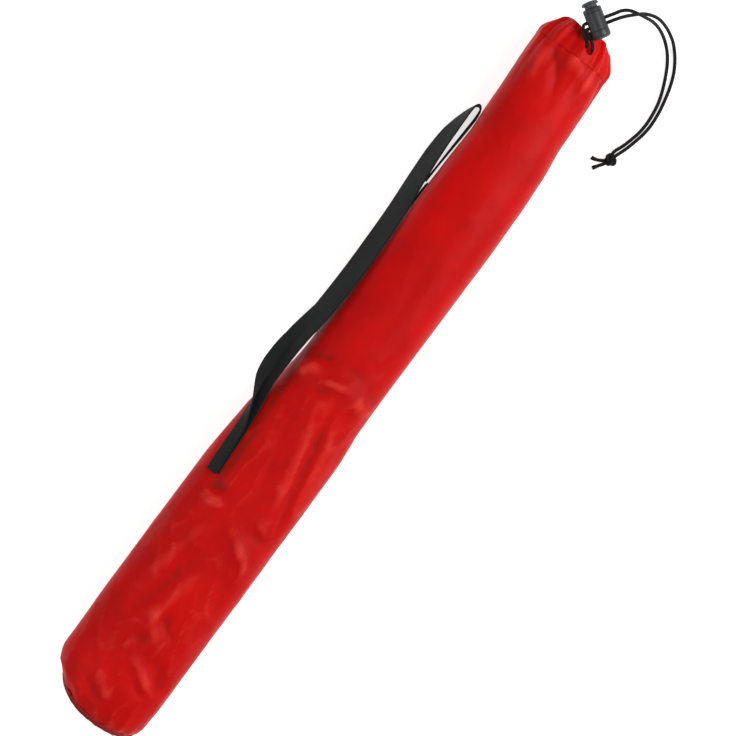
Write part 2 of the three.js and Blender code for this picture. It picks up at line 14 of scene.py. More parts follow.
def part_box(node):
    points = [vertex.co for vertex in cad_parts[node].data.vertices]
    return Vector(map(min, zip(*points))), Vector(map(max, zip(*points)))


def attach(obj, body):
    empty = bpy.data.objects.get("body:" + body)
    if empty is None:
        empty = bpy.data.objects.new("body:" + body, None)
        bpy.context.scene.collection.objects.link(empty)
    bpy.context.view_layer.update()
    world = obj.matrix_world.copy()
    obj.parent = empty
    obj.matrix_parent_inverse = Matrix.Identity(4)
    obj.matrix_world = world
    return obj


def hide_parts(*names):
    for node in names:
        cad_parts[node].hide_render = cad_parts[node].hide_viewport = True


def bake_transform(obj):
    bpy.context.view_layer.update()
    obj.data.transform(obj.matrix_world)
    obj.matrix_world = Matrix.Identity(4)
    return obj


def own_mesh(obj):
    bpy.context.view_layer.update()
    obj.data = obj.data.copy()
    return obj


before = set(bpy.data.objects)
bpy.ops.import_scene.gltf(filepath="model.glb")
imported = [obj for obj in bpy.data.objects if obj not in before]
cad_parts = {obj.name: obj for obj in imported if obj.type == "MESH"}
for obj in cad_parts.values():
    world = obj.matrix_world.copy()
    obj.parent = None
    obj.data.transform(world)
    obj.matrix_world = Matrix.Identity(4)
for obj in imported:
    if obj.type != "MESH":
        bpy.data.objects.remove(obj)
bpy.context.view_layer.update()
MM = 0.001

# ------------------------------------------------------------------ places, from the frame
HEM_LOW, HEM_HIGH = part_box("mouth_hem")
TUBE_LOW, TUBE_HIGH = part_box("pole_tube_lower")
BASE_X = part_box("bag_body")[0].x
HEM_X = HEM_LOW.x
RIM_X = HEM_HIGH.x
AXIS_Z = (TUBE_LOW.z + TUBE_HIGH.z) / 2

# ------------------------------------------------------------------ driving sizes, in millimetres
LOWER_HALF = 52.0           # half width of the bag where the hoop lies
UPPER_HALF = 42.0           # half width of its slimmer part
LOWER_HEIGHT = 60.0
UPPER_HEIGHT = 62.0
SECTION_POWER = 2.4         # how boxy the bag's section is: 2 would be an ellipse
FLAT_SAG = 1.5              # lowers the section's middle, so that its underside lies flat
CLOTH = 0.55                # coated cloth
MOUTH_RADIUS = 24.6
RIM_HALF = 27.0
HEM_HALF = UPPER_HALF - 4.3  # half width of the bag where its hem starts
CASING_SHARE = 0.46         # where the drawstring runs in the hem
SLIT_Y = -3.0
SLIT_HALF = (7.0, 3.6)      # half the slit's length and half its width
SLIT_TURN = math.pi / 2 - 0.75
CORD = 3.2
WEB_WIDTH = 25.0
WEB_THICK = 1.6
LOCK_PITCH = 5.2            # between the strands inside the lock
LOCK_HEIGHT = 66.0


# ------------------------------------------------------------------ helpers
def colour(hex_code):
    """sRGB hex to linear, with alpha."""
    values = [int(hex_code[i : i + 2], 16) / 255 for i in (0, 2, 4)]
    return tuple(v / 12.92 if v <= 0.04045 else ((v + 0.055) / 1.055) ** 2.4 for v in values) + (1.0,)


def smooth(t):
    t = min(1.0, max(0.0, t))
    return t * t * (3 - 2 * t)


def lerp(a, b, t):
    return a + (b - a) * t


def mm(x, y, z):
    """A place given in millimetres."""
    return Vector((x, y, z)) * MM


def circle(count):
    """Angles evenly round a full turn."""
    return [2 * math.pi * k / count for k in range(count)]


def middle_of(points):
    return sum(points, Vector()) / len(points)


def add_node(tree, kind, links=None, values=None, **settings):
    """One shader or geometry node: its settings, its input values and what feeds each input."""
    node = tree.nodes.new(kind)
    for key, value in settings.items():
        setattr(node, key, value)
    for key, value in (values or {}).items():
        node.inputs[key].default_value = value
    for key, source in (links or {}).items():
        tree.links.new(source, node.inputs[key])
    return node


def calc(tree, operation, *values):
    """The result of a maths node; each value is a number or another node's output."""
    wires = {k: v for k, v in enumerate(values) if not isinstance(v, (int, float))}
    numbers = {k: v for k, v in enumerate(values) if isinstance(v, (int, float))}
    return add_node(tree, "ShaderNodeMath", wires, numbers, operation=operation).outputs[0]


def spread(tree, source, **ends):
    """The result of a map range node; ends are its From and To values."""
    numbers = {key.replace("_", " "): value for key, value in ends.items()}
    return add_node(tree, "ShaderNodeMapRange", {"Value": source}, numbers).outputs["Result"]


def two_tones(tree, source, low, high, start=0.0, stop=1.0):
    """A ramp between two colours, which are linear."""
    ramp = add_node(tree, "ShaderNodeValToRGB", {"Fac": source})
    for stage, tint, place in zip(ramp.color_ramp.elements, (low, high), (start, stop)):
        stage.color, stage.position = tint, place
    return ramp.outputs["Color"]


def raise_surface(tree, shader, height, strength, distance):
    bump = add_node(tree, "ShaderNodeBump", {"Height": height}, {"Strength": strength, "Distance": distance})
    tree.links.new(bump.outputs["Normal"], shader.inputs["Normal"])


def new_material(name, **values):
    material = bpy.data.materials.new(name)
    material.use_nodes = True
    shader = material.node_tree.nodes["Principled BSDF"]
    for key, value in values.items():
        shader.inputs[key.replace("_", " ")].default_value = value
    return material, material.node_tree, shader


def new_piece(name, points, faces, material, uvs=None, smooth_angle=0.7):
    """A mesh piece from points in metres; uvs hold one pair for each face corner, in millimetres."""
    mesh = bpy.data.meshes.new(name)
    mesh.from_pydata([tuple(p) for p in points], [], faces)
    if uvs is not None:
        layer = mesh.uv_layers.new(name="cloth")
        for loop, pair in zip(layer.data, uvs):
            loop.uv = pair
    mesh.validate()
    mesh.polygons.foreach_set("use_smooth", [True] * len(mesh.polygons))
    mesh.set_sharp_from_angle(angle=smooth_angle)
    mesh.materials.append(material)
    piece = bpy.data.objects.new(name, mesh)
    bpy.context.collection.objects.link(piece)
    return piece


def soften(piece, angle=None):
    """Smooth faces all over, with sharp edges only beyond the angle."""
    piece.data.polygons.foreach_set("use_smooth", [True] * len(piece.data.polygons))
    if angle:
        piece.data.set_sharp_from_angle(angle=angle)
    return piece


@contextmanager
def editing(piece):
    """The piece's mesh as a bmesh, which is written back after the work on it."""
    work = bmesh.new()
    work.from_mesh(piece.data)
    yield work
    work.to_mesh(piece.data)
    work.free()


def close_ends(work):
    bmesh.ops.holes_fill(work, edges=[e for e in work.edges if e.is_boundary], sides=0)


def face_outwards(work):
    bmesh.ops.recalc_face_normals(work, faces=work.faces)


def add_thickness(piece, thickness, offset=0.0):
    """Gives an open skin a real thickness."""
    skin = soften(piece).modifiers.new("thickness", "SOLIDIFY")
    skin.thickness = thickness * MM
    skin.offset = offset
    return settle(piece)


def thicken(piece, thickness, offset=0.0):
    """Gives an open skin a real thickness, with its faces turned the same way first."""
    with editing(piece) as work:
        face_outwards(work)
    return add_thickness(piece, thickness, offset)


def set_fold(piece, values):
    """How far each point stands out in the folds: low in a groove, high on a ridge. The cloth's material
    paints shade on low values and a highlight on high ones.
    """
    layer = piece.data.attributes.new("fold", "FLOAT", "POINT")
    layer.data.foreach_set("value", values)


def combine(piece, tool, operation="DIFFERENCE", angle=0.7):
    """Cuts the tool out of the piece, or joins it on, and removes the tool."""
    step = piece.modifiers.new("shape", "BOOLEAN")
    step.operation = operation
    step.solver = "EXACT"
    step.object = tool
    settle(piece)
    bpy.data.objects.remove(tool)
    piece.data.set_sharp_from_angle(angle=angle)
    return piece


def settle(piece):
    """Applies a piece's modifiers and its place, so that only a plain mesh at the origin is left."""
    bpy.context.view_layer.update()
    graph = bpy.context.evaluated_depsgraph_get()
    mesh = bpy.data.meshes.new_from_object(piece.evaluated_get(graph))
    mesh.transform(piece.matrix_world)
    if piece.type == "MESH":
        piece.modifiers.clear()
        piece.data = mesh
        piece.matrix_world = Matrix.Identity(4)
        return piece
    name = piece.name
    plain = bpy.data.objects.new(name + "_mesh", mesh)
    bpy.context.collection.objects.link(plain)
    bpy.data.objects.remove(piece)
    plain.name = name
    return plain


def finish_piece(piece, body, slot, *nodes):
    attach(piece, body)
    if nodes:
        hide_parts(*nodes)
    return piece


def grid_piece(name, rows, material, around=True, closed_rows=False):
    """A skin over rows of points. around closes each row on itself, closed_rows joins last to first."""
    count = len(rows[0])
    points = [p for row in rows for p in row]
    faces, uvs = [], []
    along = [0.0]
    for a, b in zip(rows, rows[1:]):
        along.append(along[-1] + sum((p - q).length for p, q in zip(a, b)) / count / MM)
    middle = rows[len(rows) // 2]
    across = [0.0]
    for k in range(count):
        across.append(across[-1] + (middle[(k + 1) % count] - middle[k]).length / MM)
    for i in range(len(rows) if closed_rows else len(rows) - 1):
        for k in range(count if around else count - 1):
            m, j = (k + 1) % count, (i + 1) % len(rows)
            here, ahead = along[i], along[min(i + 1, len(rows) - 1)]
            faces.append([i * count + k, j * count + k, j * count + m, i * count + m])
            uvs += [(here, across[k]), (ahead, across[k]), (ahead, across[k + 1]), (here, across[k + 1])]
    return new_piece(name, points, faces, material, uvs)


def outward(piece):
    """Merges doubles and turns every face outwards, on a closed piece."""
    with editing(piece) as work:
        bmesh.ops.remove_doubles(work, verts=work.verts, dist=1e-7)
        face_outwards(work)
    piece.data.set_sharp_from_angle(angle=0.7)
    return piece


def spline(points, steps, closed=False):
    """Points along a centripetal curve through the given points, evenly spread by length."""
    count = len(points)
    dense = []
    spans = count if closed else count - 1
    for i in range(spans):
        p1, p2 = points[i], points[(i + 1) % count]
        p0 = points[(i - 1) % count] if closed or i > 0 else p1 * 2 - p2
        p3 = points[(i + 2) % count] if closed or i + 2 < count else p2 * 2 - p1
        t0, t1 = 0.0, max(1e-6, (p1 - p0).length) ** 0.5
        t2 = t1 + max(1e-6, (p2 - p1).length) ** 0.5
        t3 = t2 + max(1e-6, (p3 - p2).length) ** 0.5
        for k in range(12):
            t = lerp(t1, t2, k / 12)
            a1 = p0.lerp(p1, (t - t0) / (t1 - t0))
            a2 = p1.lerp(p2, (t - t1) / (t2 - t1))
            a3 = p2.lerp(p3, (t - t2) / (t3 - t2))
            b1 = a1.lerp(a2, (t - t0) / (t2 - t0))
            b2 = a2.lerp(a3, (t - t1) / (t3 - t1))
            dense.append(b1.lerp(b2, (t - t1) / (t2 - t1)))
    dense.append(points[0].copy() if closed else points[-1].copy())
    reach = [0.0]
    for a, b in zip(dense, dense[1:]):
        reach.append(reach[-1] + (b - a).length)
    result, k = [], 0
    for i in range(steps if closed else steps + 1):
        want = reach[-1] * i / steps
        while k < len(reach) - 2 and reach[k + 1] < want:
            k += 1
        span = max(1e-9, reach[k + 1] - reach[k])
        result.append(dense[k].lerp(dense[k + 1], min(1.0, (want - reach[k]) / span)))
    return result


def tube_rings(path, radius, sides, closed=False):
    """Rings of points round a path, carried along it without twist. radius may vary with the share."""
    rings = []
    count = len(path)
    side = None
    for i, p in enumerate(path):
        ahead = path[(i + 1) % count] if closed or i + 1 < count else path[i]
        behind = path[i - 1] if closed or i > 0 else path[i]
        along = (ahead - behind).normalized()
        if side is None:
            side = along.orthogonal().normalized()
        side = (side - along * side.dot(along)).normalized()
        up = along.cross(side)
        r = radius(i / max(1, count - 1)) if callable(radius) else radius
        rings.append([p + (side * math.cos(t) + up * math.sin(t)) * r for t in circle(sides)])
    return rings


def tube_piece(name, path, radius, material, sides=16, closed=False):
    rings = tube_rings(path, radius, sides, closed)
    piece = grid_piece(name, rings, material, closed_rows=closed)
    if not closed:
        with editing(piece) as work:
            close_ends(work)
    return outward(piece)


def turned_piece(name, outline, material, sides, centre, turn=Matrix.Identity(3), rib=None):
    """A turned piece: outline is [along, radius] in millimetres, closed on itself, turned on +X."""
    rings = []
    for t in circle(sides):
        ring = []
        for i, (along, radius) in enumerate(outline):
            r = radius - (rib(i, t) if rib else 0.0)
            ring.append(centre + turn @ mm(along, r * math.cos(t), r * math.sin(t)))
        rings.append(ring)
    return outward(grid_piece(name, rings, material, closed_rows=True))


def prism(low_ring, high_ring, material):
    """A tool between two rings of points, the lower one first."""
    count = len(low_ring)
    faces = [[k, (k + 1) % count, count + (k + 1) % count, count + k] for k in range(count)]
    faces += [list(range(count - 1, -1, -1)), list(range(count, 2 * count))]
    return outward(new_piece("tool", low_ring + high_ring, faces, material))


# ------------------------------------------------------------------ camera, light and ground
VIEW_HEIGHT = 3.0
VIEW_WIDTH = 0.659         # what the frame covers at the bag's middle height
VIEW_TURN = math.radians(53.2)
LOOK_AT = Vector((0.0174, -0.0164, 0.03))


def make_camera():
    camera = bpy.data.objects.new("camera", bpy.data.cameras.new("camera"))
    camera.data.sensor_width = 36.0
    camera.data.lens = 36.0 * VIEW_HEIGHT / VIEW_WIDTH
    camera.location = LOOK_AT + Vector((0, 0, VIEW_HEIGHT))
    camera.rotation_euler = (0, 0, -VIEW_TURN)
    bpy.context.collection.objects.link(camera)
    bpy.context.scene.camera = camera


def make_light(name, place, size, power, look=LOOK_AT):
    lamp = bpy.data.objects.new(name, bpy.data.lights.new(name, "AREA"))
    lamp.data.shape = "RECTANGLE"
    lamp.data.size, lamp.data.size_y = size
    lamp.data.energy = power
    lamp.location = place
    lamp.rotation_euler = (look - Vector(place)).to_track_quat("-Z", "Y").to_euler()
    bpy.context.collection.objects.link(lamp)


def make_stage():
    floor = bpy.data.meshes.new("floor")
    floor.from_pydata([(-30, -30, 0), (30, -30, 0), (30, 30, 0), (-30, 30, 0)], [], [(0, 1, 2, 3)])
    material, _, shader = new_material("floor_paper", Roughness=0.9)
    shader.inputs["Base Color"].default_value = (0.62, 0.62, 0.62, 1)
    shader.inputs["Emission Color"].default_value = (1, 1, 1, 1)
    shader.inputs["Emission Strength"].default_value = 0.72
    floor.materials.append(material)
    ground = bpy.data.objects.new("floor", floor)
    ground.location.z = -0.0002
    bpy.context.collection.objects.link(ground)
    world = bpy.data.worlds.new("studio")
    world.use_nodes = True
    world.node_tree.nodes["Background"].inputs["Color"].default_value = (1, 1, 1, 1)
    world.node_tree.nodes["Background"].inputs["Strength"].default_value = 0.42
    bpy.context.scene.world = world
    bpy.context.scene.view_settings.view_transform = "Standard"
    make_light("window", (1.0, -1.1, 1.5), (1.0, 1.0), 34)
    make_light("fill", (-1.0, 0.9, 1.8), (1.2, 1.2), 9)


# ------------------------------------------------------------------ materials
def thread_pattern(tree, scale_u, scale_v):
    """Two crossing wave patterns on the piece's own map, which is in millimetres."""
    uv = add_node(tree, "ShaderNodeUVMap", uv_map="cloth")
    split = add_node(tree, "ShaderNodeSeparateXYZ", {"Vector": uv.outputs["UV"]})
    return [calc(tree, "SINE", calc(tree, "MULTIPLY", split.outputs[axis], 2 * math.pi / scale))
            for axis, scale in (("X", scale_u), ("Y", scale_v))]


def mottle(tree, place, **values):
    """Soft noise on the piece's own coordinates."""
    return add_node(tree, "ShaderNodeTexNoise", {"Vector": place}, values).outputs["Fac"]


def coated_nylon(name, deep, main, ridge_highlight, groove_shade):
    """Woven nylon with a thin coat: a low, wide gloss, a painted highlight on the ridges of its folds and
    painted shade in their grooves, and a fine plain weave.
    Threads are 0.35 mm on the real cloth and are drawn at 0.9 mm, so that they show."""
    material, tree, shader = new_material(name, Roughness=0.47, Specular_IOR_Level=0.11)
    shader.inputs["Sheen Weight"].default_value = 0.02
    shader.inputs["Sheen Roughness"].default_value = 0.45
    shader.inputs["Sheen Tint"].default_value = colour("ff8a80")
    weave = calc(tree, "MULTIPLY", *thread_pattern(tree, 0.9, 0.9))
    place = add_node(tree, "ShaderNodeTexCoord").outputs["Object"]
    cloud = mottle(tree, place, Scale=22.0, Detail=5.0, Roughness=0.6)
    crumple = mottle(tree, place, Scale=120.0, Detail=4.0, Roughness=0.55, Distortion=0.6)
    fold = add_node(tree, "ShaderNodeAttribute", attribute_name="fold").outputs["Fac"]
    tone = two_tones(tree, cloud, colour(deep), colour(main), 0.36, 0.68)
    # painted highlight on the ridges and painted shade in the grooves, both from the fold attribute
    ridge = spread(tree, fold, From_Min=0.55, From_Max=1.1)
    groove = spread(tree, fold, From_Min=0.42, From_Max=-0.35)
    for share, tint in ((ridge, ridge_highlight), (groove, groove_shade)):
        mixed = add_node(tree, "ShaderNodeMix", {0: share, 6: tone}, {7: colour(tint)}, data_type="RGBA")
        tone = mixed.outputs[2]
    tree.links.new(tone, shader.inputs["Base Color"])
    height = calc(tree, "ADD", crumple, calc(tree, "MULTIPLY", weave, 0.12))
    raise_surface(tree, shader, height, 0.3, 0.0006)
    tree.links.new(spread(tree, crumple, To_Min=0.40, To_Max=0.58), shader.inputs["Roughness"])
    return material


def webbing(name, dark, light, rib=1.7):
    """Woven polypropylene webbing: rows of thick yarn across it, matt with a dry sheen."""
    material, tree, shader = new_material(name, Roughness=0.82, Specular_IOR_Level=0.25)
    shader.inputs["Sheen Weight"].default_value = 0.05
    twill = calc(tree, "MULTIPLY", *thread_pattern(tree, rib, rib * 0.8))
    tree.links.new(two_tones(tree, twill, colour(dark), colour(light)), shader.inputs["Base Color"])
    raise_surface(tree, shader, twill, 0.7, 0.0003)
    return material


def braided_cord(name, dark, light):
    """Braided polyester: slanting strands 1.3 mm apart that cross in a diamond."""
    material, tree, shader = new_material(name, Roughness=0.7, Specular_IOR_Level=0.22)
    uv = add_node(tree, "ShaderNodeUVMap", uv_map="cloth")
    split = add_node(tree, "ShaderNodeSeparateXYZ", {"Vector": uv.outputs["UV"]})
    turn = calc(tree, "MULTIPLY", split.outputs["Y"], 2 * math.pi * 4 / (math.pi * CORD))
    run = calc(tree, "MULTIPLY", split.outputs["X"], 2 * math.pi / 2.6)
    slants = [calc(tree, "SINE", calc(tree, way, run, turn)) for way in ("ADD", "SUBTRACT")]
    braid = calc(tree, "MAXIMUM", *slants)
    tree.links.new(two_tones(tree, braid, colour(dark), colour(light)), shader.inputs["Base Color"])
    raise_surface(tree, shader, braid, 0.8, 0.0003)
    return material


def grained(name, base, roughness, metallic=0.0, grain=0.3, depth=0.00005, stretch=(1, 1, 1)):
    """A solid with a fine surface grain, in millimetres, and a little unevenness in its gloss."""
    material, tree, shader = new_material(name, Roughness=roughness, Metallic=metallic)
    place = add_node(tree, "ShaderNodeTexCoord").outputs["Object"]
    fit = add_node(tree, "ShaderNodeMapping", {"Vector": place}, {"Scale": stretch})
    fine = mottle(tree, fit.outputs["Vector"], Scale=1 / (grain * MM), Detail=3.0)
    cloud = mottle(tree, place, Scale=60.0, Detail=3.0)
    unevenness = 0.06
    rough = spread(tree, cloud, To_Min=roughness - unevenness, To_Max=roughness + unevenness)
    tree.links.new(rough, shader.inputs["Roughness"])
    dim = tuple(c * 0.8 for c in colour(base)[:3]) + (1.0,)
    tree.links.new(two_tones(tree, cloud, dim, colour(base)), shader.inputs["Base Color"])
    raise_surface(tree, shader, fine, 0.4, depth)
    return material


def ripstop(name, base, line):
    """Ripstop nylon: thin cloth with a raised square of thicker threads every 5 mm."""
    material, tree, shader = new_material(name, Roughness=0.5)
    shader.inputs["Sheen Weight"].default_value = 0.15
    high = calc(tree, "MAXIMUM", *thread_pattern(tree, 5.0, 5.0))
    thread = spread(tree, high, From_Min=0.93, From_Max=0.99)
    tree.links.new(two_tones(tree, thread, colour(base), colour(line)), shader.inputs["Base Color"])
    raise_surface(tree, shader, thread, 0.5, 0.0002)
    return material


# the last two tints are the painted highlight on the fold ridges and the painted shade in the grooves
BAG_CLOTH = coated_nylon("coated_nylon_red", "b00200", "c40300", "dc3a2e", "6a1204")
BINDING = webbing("binding_tape_red", "8a0503", "b80803", 0.9)
WEBBING = webbing("polypropylene_webbing_black", "0f1011", "1b1c1e")
TIE_TAPE = webbing("hook_and_loop_black", "0f1011", "1e2022", 1.1)
CORD_BRAID = braided_cord("braided_polyester_black", "050505", "151517")
THREAD_RED = grained("sewing_thread_red", "c00803", 0.6, grain=0.2)
THREAD_BLACK = grained("sewing_thread_black", "161617", 0.6, grain=0.2)
LOCK_SHELL = grained("moulded_nylon_black", "1f2326", 0.42, grain=0.25, depth=0.00004)
LOCK_BUTTON = grained("moulded_acetal_grey", "3c3e40", 0.45, grain=0.25, depth=0.00004)
SPRING_STEEL = grained("drawn_spring_steel", "b9bdc2", 0.28, 1.0, grain=0.4, depth=0.00002)
POLE_ALLOY = grained("satin_anodised_aluminium", "c3c6ca", 0.34, 1.0, 0.25, 0.00002, stretch=(0.05, 1, 1))
POLE_PLASTIC = grained("spark_textured_nylon_black", "202224", 0.55, grain=0.35, depth=0.00008)
BUSH_PLASTIC = grained("natural_nylon", "d8d2c0", 0.45, grain=0.4)
FOOT_RUBBER = grained("moulded_rubber_black", "141516", 0.85, grain=0.5, depth=0.00008)
SOCK_CLOTH = ripstop("ripstop_nylon_orange", "e2571c", "f07a3a")


# ------------------------------------------------------------------ drawstring
def from_rim(x, y, z):
    """A place given in millimetres from the middle of the mouth's rim, and above the ground."""
    return Vector((RIM_X + x * MM, y * MM, z * MM))


LOCK_ALONG = Vector((0.536, 0.844, 0)).normalized()
LOCK_THROUGH = Vector((0.844, -0.536, 0)).normalized()
LOCK_CENTRE = from_rim(9, 4, LOCK_HEIGHT)
KNOT = from_rim(-75.4, -79, 4.75)
CORD_INSET = 1.0 + 0.35 + CORD / 2  # from the casing's skin, through its cloth and play, to the cord's middle
CASING_SIDE = lerp(UPPER_HALF - 4.5, RIM_HALF, CASING_SHARE**2.2) - CORD_INSET
CASING_HALF = lerp(UPPER_HEIGHT / 2, RIM_HALF, CASING_SHARE**2.2) - CORD_INSET
SLIT_X = HEM_X / MM - RIM_X / MM + CASING_SHARE * (RIM_X - HEM_X) / MM
SLIT_TOP = AXIS_Z / MM + CASING_HALF + 0.4


def in_lock(along, through):
    return LOCK_CENTRE + (LOCK_ALONG * along + LOCK_THROUGH * through) * MM


def strand_routes():
    """The chosen routes of the two strands, from the slit through the lock and down to the knot."""
    side = LOCK_PITCH / 2
    run = (-11.5, -4, 4, 11, 17)
    first = [
        from_rim(SLIT_X + 0.5, -1, SLIT_TOP), from_rim(SLIT_X + 2, -0.4, SLIT_TOP + 2.2),
        from_rim(SLIT_X + 5, 3.3, 63.2), from_rim(SLIT_X + 8.4, 8.8, 65.4),
        *[in_lock(side, through) for through in run],
        from_rim(31.3, -7, 65), from_rim(35.5, -12.2, 63.8), from_rim(38.2, -19.5, 60),
        from_rim(40.6, -27.3, 52), from_rim(43.3, -35.3, 37.5), from_rim(43.2, -44.3, 24),
        from_rim(40, -52.9, 13), from_rim(34.2, -61, 5.5), from_rim(27, -67.3, 2.4),
        from_rim(17.7, -72.8, 1.75), from_rim(4.3, -79, 1.75), from_rim(-8.5, -83.3, 1.75),
        from_rim(-20, -85.2, 1.75), from_rim(-30, -85.9, 1.75), from_rim(-40, -85.2, 1.75),
        from_rim(-50, -83, 1.9), from_rim(-58.5, -80.6, 2.8), from_rim(-68.3, -77.2, 4.6),
    ]
    second = [
        from_rim(SLIT_X + 0.5, -7, SLIT_TOP), from_rim(SLIT_X + 2, -6.4, SLIT_TOP + 2),
        from_rim(SLIT_X + 5.5, -3.2, 62.8), from_rim(SLIT_X + 8.6, 2.2, 65),
        *[in_lock(-side, through) for through in run],
        from_rim(28.3, -11.6, 63.2), from_rim(34.2, -16.3, 57.4), from_rim(39, -20.4, 52),
        from_rim(43.3, -24.6, 46.5), from_rim(46.8, -30, 39.5), from_rim(49.2, -36.5, 33),
        from_rim(49.6, -45, 21.5), from_rim(47.6, -53, 12.5), from_rim(43.2, -61.3, 5.8),
        from_rim(34.7, -70, 2.3), from_rim(23.8, -77.3, 1.75), from_rim(11.8, -82.4, 1.75),
        from_rim(-2.2, -86.3, 1.75), from_rim(-15.7, -88.9, 1.75), from_rim(-29, -89.9, 1.75),
        from_rim(-39.5, -89, 1.75), from_rim(-50.5, -86.7, 1.9), from_rim(-59.5, -84.3, 2.8),
        from_rim(-68.3, -81.1, 4.6),
    ]
    return first, second


def make_knot():
    """The overhand knot that joins both strands: three tight crossings, laid flat and doubled."""
    pieces = []
    for name, size, lift, turn in (("under", 1.72, -0.9, 0.0), ("over", 1.5, 1.0, 0.55)):
        loops = []
        for t in circle(40):
            x, y = math.sin(t) + 2 * math.sin(2 * t), math.cos(t) - 2 * math.cos(2 * t)
            z = -math.sin(3 * t) * 1.25 + lift
            loops.append(KNOT + mm(size * (x * math.cos(turn) - y * math.sin(turn)),
                                   size * (x * math.sin(turn) + y * math.cos(turn)), z))
        path = spline(loops, 120, closed=True)
        pieces.append(tube_piece(f"drawstring_knot_{name}", path, 1.5 * MM, CORD_BRAID, closed=True))
    return pieces


def make_tail(name, points):
    """A cut end: the braid opens and thickens a little over its last few millimetres."""
    path = spline(points, 30)
    return tube_piece(name, path, lambda t: (CORD / 2 + 0.35 * smooth((t - 0.55) / 0.3)) * MM, CORD_BRAID)


def make_drawstring():
    knots = make_knot()
    finish_piece(knots[0], "bag", "cord", "cord_knot")
    finish_piece(knots[1], "bag", "cord")
    ends = (
        [from_rim(-78.6, -75.6, 4.4), from_rim(-80.2, -73, 3.6), from_rim(-81.8, -69.8, 2.5),
         from_rim(-83, -66, 2.05), from_rim(-83.2, -63.8, 2.05)],
        [from_rim(-79.8, -77.2, 4.2), from_rim(-82.3, -75.9, 3.4), from_rim(-85, -74, 2.4),
         from_rim(-88.6, -71.6, 2.05), from_rim(-90.6, -70.4, 2.05)],
    )
    tails = [make_tail(f"drawstring_tail_{i}", points) for i, points in enumerate(ends, 1)]
    for i, tail in enumerate(tails, 1):
        finish_piece(tail, "bag", "cord", f"cord_tail_{i}")
    into_knot = (from_rim(-72.2, -78.6, 4.8), from_rim(-72.2, -79.8, 4.8))
    for name, route, last in zip(("upper", "lower"), strand_routes(), into_knot):
        path = spline([*route, last], 260)
        strand = tube_piece(f"drawstring_{name}", path, CORD / 2 * MM, CORD_BRAID)
        finish_piece(strand, "bag", "cord", f"cord_strand_{name}")


# ------------------------------------------------------------------ bag cloth
# Distance from the base, sideways shift, half width and height of the lying bag.
BAG_FORM = np.array([
    (0, -3, LOWER_HALF - 13, 48), (5, -2, LOWER_HALF - 7, 53), (14, 0, LOWER_HALF - 3, 57),
    (40, 2, LOWER_HALF, LOWER_HEIGHT), (140, 3, LOWER_HALF + 0.5, LOWER_HEIGHT),
    (250, 3.5, LOWER_HALF, LOWER_HEIGHT), (310, 2, LOWER_HALF - 2, LOWER_HEIGHT),
    (350, -1, UPPER_HALF + 1.5, 61), (385, -2, UPPER_HALF, UPPER_HEIGHT), (540, -2, UPPER_HALF, UPPER_HEIGHT),
    (590, -2, UPPER_HALF - 1, UPPER_HEIGHT), (625, -1.5, UPPER_HALF - 2.5, UPPER_HEIGHT),
    (660, 1.5, UPPER_HALF - 3.5, UPPER_HEIGHT), (715, 4, UPPER_HALF - 3.5, UPPER_HEIGHT),
    (731, 4.5, UPPER_HALF - 4, UPPER_HEIGHT),
], dtype=float)
BASE_MM = BASE_X / MM
RIM_MM = RIM_X / MM
HEM_MM = HEM_X / MM
AXIS_MM = AXIS_Z / MM

